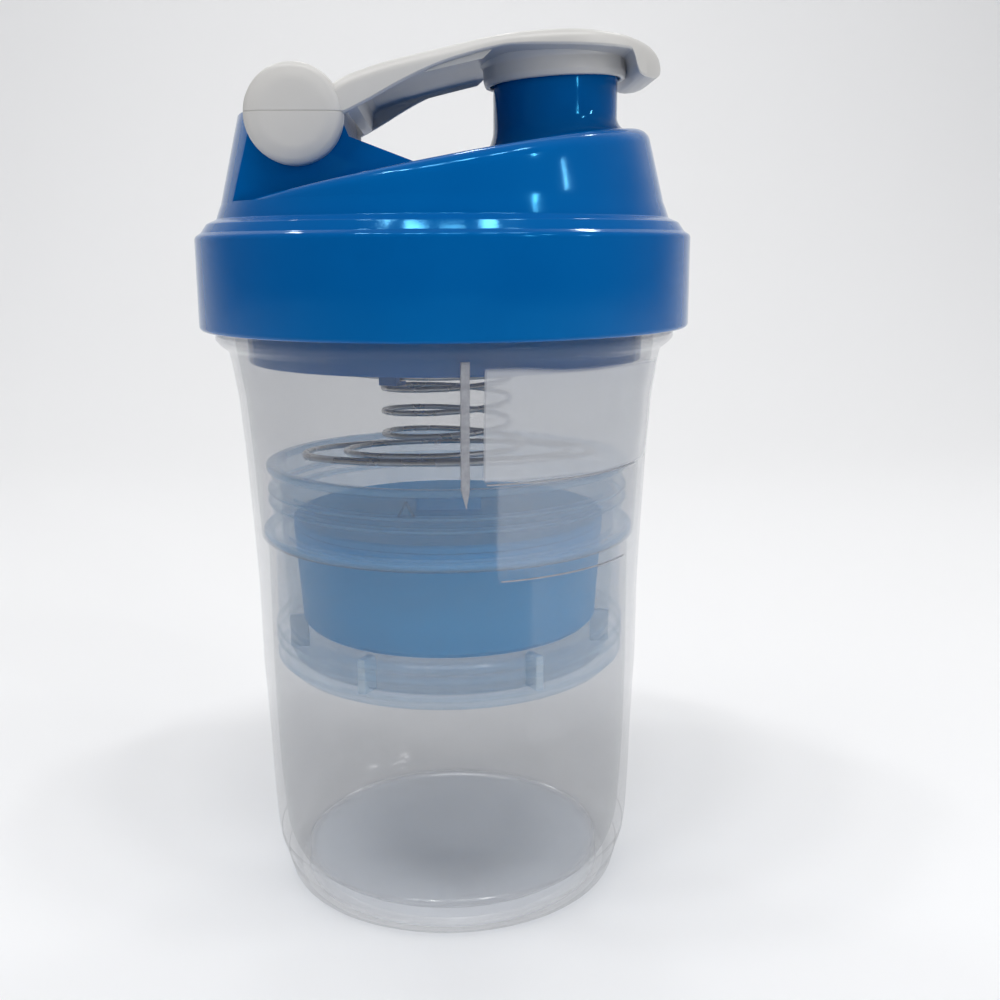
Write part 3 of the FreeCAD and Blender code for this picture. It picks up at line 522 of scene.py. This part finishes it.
low_in = [(38.4, 72.0), (38.4, 60), (38.4, 47), (38.2, 36), (37.9, 26), (37.5, 19.4), (37.0, 13.0), (36.2, 9.6), (34.9, 6.6), (33.0, 4.6), (31.0, 3.7), (28.0, 3.4)]
profile += smooth_curve(low_in, 46)[1:]
profile += [(18.0, 3.4), (6.0, 3.4), (0, 3.4)]
b = Build()
b.turn(profile, 224)
b.thread(44.8, 46.6, 122.8, 36.0, 9.0, 2.2, 1.3, 4)
cup = b.make("shaker_cup", 40, cup_clear)
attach(cup, "cup")
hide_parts("cup")

# pointed scale line moulded on the front, and the lower edges of the frosted fields
def on_cup(deg, z, proud=0.05):
    a = math.radians(deg)
    r = cup_radius(z) + proud
    return (r * math.sin(a), -r * math.cos(a), z)


def strip(name, path, width_deg, proud=0.12, mat=None):
    """A thin raised strip that follows the cup: path is [(angle, z, half width in mm)]."""
    loops = []
    for i, (deg, z, half) in enumerate(path):
        d2, z2, _ = path[min(i + 1, len(path) - 1)]
        d1, z1, _ = path[max(i - 1, 0)]
        dz = z2 - z1
        dx = math.radians(d2 - d1) * cup_radius(z)
        ln = math.hypot(dx, dz) or 1.0
        nx, nz = dz / ln, -dx / ln
        loop = []
        for s, h in ((-1, -0.25), (-0.8, proud), (0.8, proud), (1, -0.25)):
            da = math.degrees(s * half * nx / cup_radius(z))
            loop.append(on_cup(deg + da, z + s * half * nz, h))
        loops.append(loop)
    bb = Build()
    bb.loops(loops, close_ends="both")
    o = bb.make(name, 40, mat or frost)
    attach(o, "cup")
    return o


bar = [(4.2, z, 0.85) for z in np.linspace(115.5, 92.5, 40)] + [(4.2 + 0.25 * k / 6, 92.5 - 3.6 * k / 6, 0.85 * (1 - k / 6) + 0.06) for k in range(1, 7)]
strip("scale_line", bar, 0)
strip("field_edge_upper", [(a, 93.1, 0.16) for a in np.linspace(9.5, 62, 60)], 0, 0.09)
strip("field_edge_lower", [(a, 74.6, 0.13) for a in np.linspace(13.5, 58, 50)], 0, 0.06)

# ------------------------------------------------------------------ storage jar
JR, JL, JT, FL = 36.9, 47.7, 91.5, 76.4
jar_profile = [
    (0, JL + 0.8), (JR - 4.4, JL + 0.8, 0.3), (JR - 3.4, JL, 0.3), (JR - 2.0, JL, 0.9), (JR - 0.6, JL + 1.4, 0.6),
    (JR - 0.5, JL + 2.0, 0.2), (JR + 0.5, JL + 2.4, 0.35), (JR + 0.5, JL + 3.2, 0.35), (JR - 0.4, JL + 3.7, 0.3),
    (JR - 0.4, JL + 5.4, 0.3), (JR + 0.6, JL + 5.9, 0.35), (JR + 0.6, JL + 6.6, 0.35), (JR - 0.3, JL + 7.1, 0.2),
    (JR - 0.3, JL + 7.9, 0.2), (JR + 0.6, JL + 8.3, 0.3), (JR + 0.6, JL + 9.3, 0.3), (JR, JL + 9.8, 0.3),
    (JR, FL, 0.3), (39.3, FL, 0.3), (39.3, FL + 1.2, 0.4), (JR + 0.3, FL + 1.6, 0.5),
    (JR + 0.3, JT - 8.4, 0.2), (JR + 1.1, JT - 8.2, 0.3), (JR + 1.1, JT - 7.6, 0.3), (JR + 0.3, JT - 7.4, 0.2),
    (JR + 0.3, JT - 6.0, 0.2), (JR + 1.1, JT - 5.8, 0.3), (JR + 1.1, JT - 5.2, 0.3), (JR + 0.3, JT - 5.0, 0.2),
    (JR + 0.3, JT - 1.7, 0.4), (38.2, JT - 1.2, 0.3), (38.2, JT, 0.45), (JR - 1.0, JT, 0.4), (JR - 1.5, JT - 3.0, 1.0),
    (JR - 1.5, FL, 2.0), (JR - 2.2, JL + 5.0, 2.0), (JR - 3.2, JL + 2.3, 1.8), (0, JL + 2.3),
]
b = Build()
b.turn(rounded(jar_profile, 0.3, 4), 200)
ribs = Build()
for i in range(6):
    # upright ribs that the tray rests on
    a = TAU * i / 6
    loops = []
    for r in (31.0, 31.3, 34.9):
        h = 56.6 if r > 31.1 else 56.2
        loops.append([(r * math.cos(a) - w * math.sin(a), r * math.sin(a) + w * math.cos(a), z) for w, z in ((-0.8, 49.6), (0.8, 49.6), (0.8, h - 0.2), (0.6, h), (-0.6, h), (-0.8, h - 0.2))])
    ribs.loops(loops, close_ends="both")
rests = ribs.make("jar_tray_rests", 30, rib_milky)
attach(rests, "storage_jar")
# small moulded triangle under the jar's rim
for (a0, z0), (a1, z1) in (((-14.6, 86.3), (-12.2, 89.2)), ((-12.2, 89.2), (-9.8, 86.3)), ((-9.8, 86.3), (-14.6, 86.3))):
    loops = []
    for f in np.linspace(0, 1, 7):
        a, z = math.radians(a0 + (a1 - a0) * f), z0 + (z1 - z0) * f
        dz, da = (z1 - z0), math.radians(a1 - a0) * 37.3
        ln = math.hypot(dz, da)
        loop = []
        for sgn, h in ((-1, -0.4), (-0.7, 0.22), (0.7, 0.22), (1, -0.4)):
            aa = a + sgn * 0.22 * dz / ln / 37.3
            zz = z - sgn * 0.22 * da / ln
            loop.append(((37.2 + h) * math.sin(aa), -(37.2 + h) * math.cos(aa), zz))
        loops.append(loop)
    b.loops(loops, close_ends="both")
jar = b.make("jar_shell", 40, jar_clear)
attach(jar, "storage_jar")
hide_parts("storage_jar")

# ------------------------------------------------------------------ lid
N = 240
CONE = lambda z: 45.1 - (z - 141.0) * 7.0 / 29.0
SLOPE, MID = 0.19, 150.4
SX = 22.7


def fillet2(p, d1, d2, radius, steps):
    """Arc tangent to two lines that meet at p and leave it along d1 and d2."""
    d1, d2 = d1 / np.linalg.norm(d1), d2 / np.linalg.norm(d2)
    ang = math.acos(float(np.clip(np.dot(d1, d2), -1, 1)))
    t = radius / math.tan(ang / 2)
    a, c = p + d1 * t, p + d2 * t
    bis = (d1 + d2) / np.linalg.norm(d1 + d2)
    centre = p + bis * radius / math.sin(ang / 2)
    va, vc = a - centre, c - centre
    total = math.acos(float(np.clip(np.dot(va, vc) / radius ** 2, -1, 1)))
    out = []
    for k in range(steps + 1):
        f = k / steps
        w = (math.sin((1 - f) * total) * va + math.sin(f * total) * vc) / math.sin(total)
        out.append(centre + w)
    return out


def ring(r, z):
    return [(r * math.cos(TAU * k / N), r * math.sin(TAU * k / N), z) for k in range(N)]


loops = []
skirt_line = rounded([
    (47.4, 135.4, 0.6), (47.4, 119.1, 0.25), (50.0, 119.1, 0.9), (50.0, 137.25, 1.1), (48.75, 138.0, 0.5), (47.6, 139.7, 0.8),
    (45.6, 140.55, 0.6), (45.05, 142.2, 1.4), (44.85, 143.0, 0)], 0.4, 5, closed=False)
outer_low = [(47.4, 134.0)] + skirt_line[1:]
for r, z in outer_low[:-1]:
    loops.append(ring(r, z))
# cone wall, crest rounding, slanted roof, spout
crest_loops = [[] for _ in range(14)]
spout_loops = [[] for _ in range(30)]
CR = 2.0
for k in range(N):
    t = TAU * k / N
    c, s = math.cos(t), math.sin(t)
    zc = (MID + SLOPE * c * (45.1 + 141 * 7 / 29)) / (1 + SLOPE * c * 7 / 29)
    rc = CONE(zc)
    corner = np.array([rc, zc])
    down = np.array([7.0 / 29.0, -1.0])
    inward = np.array([-1.0, -SLOPE * c])
    k_in = min(1.0, max(0.0, (c + 0.7) / 0.7))
    rad = CR + 1.5 * k_in * k_in * (3 - 2 * k_in) - 0.9 * max(0.0, (c - 0.88) / 0.12)
    arc = fillet2(corner, down, inward, rad, 8)
    wall = [np.array([CONE(143.6), 143.6])]
    start = arc[0]
    for j in range(5):
        f = j / 5
        q = wall[0] * (1 - f) + start * f
        crest_loops[j].append((q[0] * c, q[1 - 1 + 0] * s, q[1]) if False else (q[0] * c, q[0] * s, q[1]))
    for j, q in enumerate(arc):
        crest_loops[5 + j].append((q[0] * c, q[0] * s, q[1]))
    # spout foot at the same angle about the spout's own axis
    rf = 2.4 + 4.8 * ((1 - c) / 2) ** 0.5
    foot_z = MID + SLOPE * (SX + 12.5 * c)
    corner = np.array([12.5, foot_z])
    out = np.array([1.0, SLOPE * c])
    up = np.array([0.0, 1.0])
    arc = fillet2(corner, out, up, rf, 10)
    for j, q in enumerate(arc):
        spout_loops[j].append((SX + q[0] * c, q[0] * s, q[1]))
    top = [(12.5, 164.5), (12.5, 167.6), (12.3, 168.7), (12.3, 169.1), (12.1, 169.45), (11.7, 169.6), (11.2, 169.6), (10.8, 169.5), (10.5, 169.2), (10.4, 168.8), (10.4, 165.0), (10.4, 160.0), (10.4, 155.0)]
    for j, (r, z) in enumerate(top):
        spout_loops[11 + j].append((SX + r * c, r * s, z))
    under = np.array([10.4, MID - 2.4 + SLOPE * (SX + 10.4 * c)])
    arc = fillet2(under, np.array([0.0, 1.0]), np.array([1.0, SLOPE * c]), 0.9, 4)
    for j, q in enumerate(arc):
        spout_loops[24 + j].append((SX + q[0] * c, q[0] * s, q[1]))
crest_loops = [l for l in crest_loops if l]
loops += crest_loops
a_loop, b_loop = crest_loops[-1], spout_loops[0]
for j in range(1, 14):
    f = j / 14
    loops.append([tuple(a_loop[k][i] * (1 - f) + b_loop[k][i] * f for i in range(3)) for k in range(N)])
spout_loops = [l for l in spout_loops if l]
loops += spout_loops
# ceiling inside, sleeve, gasket groove
inner_top = []
for k in range(N):
    t = TAU * k / N
    c, s = math.cos(t), math.sin(t)
    inner_top.append((38.3 * c, 38.3 * s, MID - 2.4 + SLOPE * 38.3 * c))
last = spout_loops[-1]
for j in range(1, 9):
    f = j / 9
    loops.append([tuple(last[k][i] * (1 - f) + inner_top[k][i] * f for i in range(3)) for k in range(N)])
loops.append(inner_top)
sleeve = rounded([(38.4, 138), (38.9, 112.4, 0.35), (40.6, 112.4, 0.5), (41.2, 135.4, 0.5), (47.4, 135.4, 0.5), (47.4, 134.0)], 0.4, 4)
for r, z in sleeve[:-1]:
    loops.append(ring(r, z))
b = Build()
b.loops(loops, cyclic=True)
b.thread(47.4, 45.4, 122.8 - 2.0, 36.0, 9.0, 2.2, 1.3, 4, side=-1)
# hinge bracket
HX, HZ, KR = -27.1, 158.9, 8.4


def bracket_slice(y, grow=0.03):
    pts = []
    zr = 160.1
    low = MID - 1.2
    for f in np.linspace(0, 1, 10):
        z = (MID - 8.0 * SLOPE * 5.2 - 0.6) * (1 - f) + zr * f
        x = -math.sqrt(max((CONE(z) + grow) ** 2 - y * y, 1))
        pts.append((x, z))
    x_top = pts[-1][0]
    a0 = math.radians(180) - math.asin(1.2 / KR)
    for f in np.linspace(0.25, 0.9, 3):
        pts.append((x_top * (1 - f) + (HX + KR * math.cos(a0)) * f, zr))
    for f in np.linspace(0, 1, 25):
        a = a0 * (1 - f)
        pts.append((HX + KR * math.cos(a), HZ + KR * math.sin(a)))
    pts.append((-18.2, 157.2))
    pts.append((-17.4, 155.2))
    meet = -3.0
    for f in (0.25, 0.5, 0.75, 1.0, 1.08):
        x = -17.4 + (meet + 17.4) * f
        pts.append((x, 155.2 - 0.375 * (x + 17.4)))
    # back along the underside, just inside the roof
    x1 = pts[-1][0]
    x0 = pts[0][0]
    for f in np.linspace(0.0, 1.0, 8)[0:7]:
        x = x1 * (1 - f) + (x0 + 1.0) * f
        pts.append((x, MID + SLOPE * x - 1.2))
    return [(x, y, z) for x, z in pts]


ys = [-21.0, -20.6, -20.0, -18, -15, -12, -9, -6, -3, 0, 3, 6, 9, 12, 15, 18, 20.0, 20.6, 21.0]
slices = []
for y in ys:
    slices.append(bracket_slice(y))
bk = Build()
bk.loops(slices, close_ends="both")
bracket = bk.make("bracket_tmp", 35)
mod = bracket.modifiers.new("soft", "BEVEL")
mod.width = 0.0007
mod.segments = 3
mod.limit_method = "ANGLE"
mod.angle_limit = math.radians(38)
mod.harden_normals = False
dep = bpy.context.evaluated_depsgraph_get()
dep.update()
done = bracket.evaluated_get(dep).to_mesh()
b.add([tuple(v.co / MM) for v in done.vertices], [tuple(p.vertices) for p in done.polygons])
bracket.evaluated_get(dep).to_mesh_clear()
bpy.data.objects.remove(bracket)
lid = b.make("lid_shell", 34, lid_blue)
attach(lid, "lid")
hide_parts("lid_body")

# ------------------------------------------------------------------ flip cap
TOPC = [(-27.0, 158.8), (-25.0, 160.2), (-19.3, 165.2), (-12.4, 168.2), (-5.1, 170.3), (4.1, 172.5), (9.2, 173.6), (16.3, 174.6),
        (24.4, 175.0), (32.3, 174.6), (38.4, 173.5), (42.0, 172.0), (43.7, 170.4)]
LOWC = [(-27.0, 156.5), (-25.0, 157.0), (-19.0, 158.6), (-13.7, 161.2), (-9.3, 163.7), (-4.9, 166.0), (-0.5, 167.9), (4.1, 169.4), (10.0, 170.9), (15.0, 171.4), (35.0, 171.4)]
WIDE = [(-27.0, 25.4), (-25.5, 25.4), (-19.0, 24.9), (-13.0, 23.6), (-4.5, 21.9), (4.0, 21.2), (13.0, 21.05), (22.7, 21.0)]
top_fine = smooth_curve(TOPC, 240)
low_fine = smooth_curve(LOWC, 200)
wide_fine = smooth_curve(WIDE, 160)


def z_top(x):
    return interp(x, top_fine)


def z_low(x):
    if x <= 35.0:
        return interp(x, low_fine)
    return interp(x, [(35.0, 171.4), (35.7, 171.2), (36.3, 170.2), (36.9, 168.2), (37.6, 167.2), (38.8, 166.85), (40.4, 166.8), (41.6, 167.1), (42.6, 167.7), (43.3, 168.6), (43.7, 169.4)])


def half_width(x):
    if x <= 22.7:
        return interp(x, wide_fine)
    return math.sqrt(max(21.0 ** 2 - (x - 22.7) ** 2, 0.0))


def u_section(x, channel):
    """Closed section of the arm across y. channel is 0 where it is solid, 1 where it is hollow."""
    w = max(half_width(x), 0.02)
    zt, zl = z_top(x), z_low(x)
    crown = 0.55 * min(1.0, w / 21.0)
    tall = max(zt - zl, 0.3)
    r = min(2.3, 0.72 * tall, 0.6 * w)
    wc = max(w - 2.0, w * 0.86)
    pts = []
    # outer side and rounded shoulder
    zsh = zt - crown
    pts.append((w - 0.35, zl))
    pts.append((w, zl + min(0.35, 0.2 * tall)))
    for f in np.linspace(0, 1, 8):
        a = f * math.pi / 2
        pts.append((w - r + r * math.cos(a), zsh - r + r * math.sin(a)))
    for f in np.linspace(0, 1, 12)[1:-1]:
        y = (w - r) * (1 - 2 * f)
        pts.append((y, zsh + crown * (1 - (y / max(w - r, 1e-3)) ** 2)))
    for f in np.linspace(1, 0, 8):
        a = f * math.pi / 2
        pts.append((-(w - r + r * math.cos(a)), zsh - r + r * math.sin(a)))
    pts.append((-w, zl + min(0.35, 0.2 * tall)))
    pts.append((-(w - 0.35), zl))
    zc = zl + (max(zt - 2.4 - crown, zl) - zl) * channel
    ri = 1.2 * channel
    for y, z in ((-(wc + 0.3), zl), (-wc, zl + 0.3 * channel), (-wc, zc - ri), (-wc + 0.35 * ri, zc - 0.35 * ri), (-wc + ri, zc), (-wc * 0.5, zc), (0, zc), (wc * 0.5, zc),
                 (wc - ri, zc), (wc - 0.35 * ri, zc - 0.35 * ri), (wc, zc - ri), (wc, zl + 0.3 * channel), (wc + 0.3, zl)):
        pts.append((y, z))
    return [(x, y, z) for y, z in pts]


def channel_at(x):
    if x < -15.4 or x > 9.4:
        return 0.0
    return min(1.0, (x + 15.4) / 0.5, (9.4 - x) / 1.8)


xs = list(np.arange(-17.3, -15.0, 0.25)) + list(np.arange(-15.0, 7.0, 0.8)) + list(np.arange(7.0, 10.5, 0.3)) + list(np.arange(10.5, 34.5, 0.8))
xs += [SX + 21.0 * math.sin(a) for a in np.linspace(math.asin((34.5 - SX) / 21.0), math.pi / 2, 44)]
b = Build()
b.loops([u_section(x, channel_at(x)) for x in xs], close_ends="both")
for way in (-1, 1):
    cheeks = []
    for x in list(np.linspace(-27.0, -17.27, 26)):
        w, zt, zl = half_width(x), z_top(x), z_low(x)
        crown = 0.55
        tall = zt - zl
        r = min(2.3, 0.72 * tall, w - 21.6)
        zsh = zt - crown
        pts = [(w - 0.35, zl), (w, zl + 0.35)]
        for f in np.linspace(0, 1, 8):
            a = f * math.pi / 2
            pts.append((w - r + r * math.cos(a), zsh - r + r * math.sin(a)))
        pts += [(21.65, zsh + 0.02), (21.4, zsh - 0.25), (21.4, zl + 0.2), (21.6, zl)]
        cheeks.append([(x, way * y, z) for y, z in pts])
    b.loops(cheeks, close_ends="both")
    # drum: domed face with a soft edge
    face = rounded([(0, 26.0), (6.2, 25.9, 6.0), (9.05, 25.1, 1.7), (9.05, 21.4, 0.3), (2.6, 21.4, 0.2), (2.55, 24.5, 0.1), (0, 24.5)], 0.3, 8)
    turn = Matrix(((1, 0, 0, HX), (0, 0, way, 0), (0, 1, 0, HZ), (0, 0, 0, 1)))
    b.turn(face, 128, matrix=turn)
# cap skirt round the spout, tilted with the closing swing
tip = Matrix.Translation((SX, 0, 167.0)) @ Matrix.Rotation(math.radians(-3.4), 4, "Y") @ Matrix.Translation((0, 0, -167.0))
b.turn(rounded([(13.1, 167.2, 0.2), (13.35, 167.0, 0.3), (14.0, 167.05, 0.6), (14.35, 168.2, 1.0), (14.3, 170.6, 0.8), (15.4, 172.2), (15.4, 172.3), (13.1, 172.3)], 0.2, 5, closed=True), 144, closed=True, matrix=tip)
flip = b.make("flip_cap_shell", 32, cap_white)
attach(flip, "flip_cap")
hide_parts("flip_cap")


# ------------------------------------------------------------------ mixer spring
KEYS = [(0.0, 20.5, 111.3, 0.0), (0.9, 20.5, 110.2, 0.0), (1.5, 13.3, 108.4, 0.0), (2.0, 13.3, 106.3, 0.0), (3.0, 13.3, 101.4, 0.0), (4.0, 13.3, 96.6, 0.0),
        (4.4, 15.5, 94.8, 0.35), (5.0, 21.5, 92.9, 0.8), (5.6, 26.0, 92.6, 1.0), (6.0, 30.0, 92.6, 1.0), (6.3, 31.0, 92.6, 1.0), (6.95, 31.0, 92.6, 1.0)]


def spring_point(turn):
    rad = high = lean = 0.0
    for (t0, r0, z0, w0), (t1, r1, z1, w1) in zip(KEYS, KEYS[1:]):
        if turn <= t1 + 1e-9:
            f = (turn - t0) / (t1 - t0)
            g = f * f * (3 - 2 * f) if r0 != r1 else f
            rad, high, lean = r0 + (r1 - r0) * g, z0 + (z1 - z0) * f, w0 + (w1 - w0) * f
            break
    ang = math.pi - TAU * (turn - 2.0)
    px, py = rad * math.cos(ang), rad * math.sin(ang)
    return Vector((px, py, high - 0.09 * py * lean))


path = [spring_point(6.95 * k / 760) for k in range(761)]
loops = []
up = Vector((0, 0, 1))
for i, p in enumerate(path):
    tangent = (path[min(i + 1, 760)] - path[max(i - 1, 0)]).normalized()
    side = tangent.cross(up).normalized()
    over = side.cross(tangent).normalized()
    end = min(i, 760 - i)
    r = 0.6 * math.sin(min(1.0, (end + 0.6) / 2.2) * math.pi / 2)
    loops.append([tuple(p + side * (r * math.cos(TAU * k / 12)) + over * (r * math.sin(TAU * k / 12))) for k in range(12)])
b = Build()
b.loops(loops, close_ends="both")
spring = b.make("mixer_coil", 60, spring_steel)
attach(spring, "lid")
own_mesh(spring)
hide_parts("mixer_spring")

# ------------------------------------------------------------------ carried-over pieces
for name, mat in (("lid_gasket", soft_seal), ("spout_seal", soft_seal), ("hinge_pin", pin_white), ("spring_holder", lid_blue), ("pill_tray", tray_blue), ("tray_lid", tray_blue)):
    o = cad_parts[name]
    o.data.materials.clear()
    o.data.materials.append(mat)

# ------------------------------------------------------------------ stage, light, camera
bpy.context.view_layer.update()


def stage_material(name, level):
    m = Mat(name)
    p = m.node("ShaderNodeBsdfPrincipled")
    n = m.noise(3.0, 2, 0.5)
    m.link(m.mix(n, (level, level, level, 1), (level * 1.01, level * 1.01, level * 1.015, 1)), p.inputs["Base Color"])
    p.inputs["Roughness"].default_value = 0.9
    p.inputs["Specular IOR Level"].default_value = 0.1
    return m.shader(p.outputs[0])


verts, faces = [], []
prof = [(-3.0, 0.0), (0.5, 0.0)] + [(0.5 + 0.6 * math.sin(a), 0.6 - 0.6 * math.cos(a)) for a in np.linspace(0.1, math.pi / 2, 14)] + [(1.1, 3.5)]
for x in (-4.0, 4.0):
    for y, z in prof:
        verts.append((x, y, z))
n = len(prof)
for i in range(n - 1):
    faces.append((i, i + 1, n + i + 1, n + i))
mesh = bpy.data.meshes.new("studio_floor")
mesh.from_pydata(verts, [], faces)
for p in mesh.polygons:
    p.use_smooth = True
floor = bpy.data.objects.new("studio_floor", mesh)
bpy.context.scene.collection.objects.link(floor)
floor.data.materials.append(stage_material("studio_pale", 0.86))

world = bpy.data.worlds.new("studio_world")
bpy.context.scene.world = world
world.use_nodes = True
bg = world.node_tree.nodes["Background"]
bg.inputs[0].default_value = (0.93, 0.95, 1.0, 1)
bg.inputs[1].default_value = 0.21


def area(name, pos, target, size, power, colour=(1, 1, 1), size_y=None):
    light = bpy.data.lights.new(name, "AREA")
    light.energy = power
    light.color = colour
    light.shape = "RECTANGLE" if size_y else "SQUARE"
    light.size = size
    if size_y:
        light.size_y = size_y
    o = bpy.data.objects.new(name, light)
    bpy.context.scene.collection.objects.link(o)
    o.location = pos
    way = Vector(target) - Vector(pos)
    o.rotation_euler = way.to_track_quat("-Z", "Y").to_euler()
    return o


SOFT = [
    area("key_top", (-0.25, -0.30, 0.95), (0, 0, 0.12), 0.5, 0.5),
    area("fill_left", (-1.15, -0.75, 0.5), (0, 0, 0.10), 0.9, 2.0, (0.98, 0.98, 1.0)),
    area("fill_right", (1.15, -0.65, 0.55), (0, 0, 0.10), 0.8, 1.5, (0.98, 0.99, 1.0)),
    area("front", (0.15, -1.5, 0.12), (0, 0, 0.10), 0.6, 1.9, (0.99, 0.99, 1.0)),
    area("wall_wash", (0.0, 0.2, 1.5), (0, 1.1, 0.5), 1.6, 6.0),
]
for o in SOFT:
    o.visible_glossy = False


def lamp(name, azimuth, elevation, dist, wide, tall, power):
    """A small bright lamp seen from the lid at this angle to the right of the front."""
    a, e = math.radians(azimuth), math.radians(elevation)
    pos = (dist * math.sin(a) * math.cos(e), -dist * math.cos(a) * math.cos(e), 0.155 + dist * math.sin(e))
    area(name, pos, (0, 0, 0.155), wide, power, (1, 1, 1), tall)


for i, (az, wide) in enumerate(((-76, 0.10), (-52, 0.09), (-24, 0.14), (6, 0.16), (38, 0.10), (64, 0.12))):
    lamp("ceiling_%d" % i, az, 67, 1.1, wide, 0.06, 8.5 * wide)
for i, az in enumerate((148, 182, 215)):
    lamp("rear_%d" % i, az, 47, 1.1, 0.12, 0.05, 0.7)
lamp("window_a", 37, 17, 1.1, 0.014, 0.26, 1.0)
lamp("window_b", 66, 20, 1.1, 0.012, 0.20, 0.8)
lamp("window_c", 50, 34, 1.1, 0.016, 0.10, 0.6)

CAM_F, CAM_Y, CAM_Z = 1180.0, -0.2492, 0.1348
cam = bpy.data.cameras.new("view_camera")
cam.sensor_width = 36.0
cam.lens = CAM_F * 36.0 / 1000.0
cam.clip_start = 0.01
camera = bpy.data.objects.new("view_camera", cam)
bpy.context.scene.collection.objects.link(camera)
rot = (Matrix.Rotation(math.radians(-2.56), 3, "Z") @ Matrix.Rotation(math.radians(77.96), 3, "X")
       @ Matrix.Rotation(math.radians(-0.31), 3, "Z"))
camera.matrix_world = Matrix.Translation((0.0, CAM_Y, CAM_Z)) @ rot.to_4x4()
bpy.context.scene.camera = camera
bpy.context.scene.view_settings.view_transform = "Standard"
bpy.context.scene.view_settings.look = "None"
bpy.context.view_layer.update()
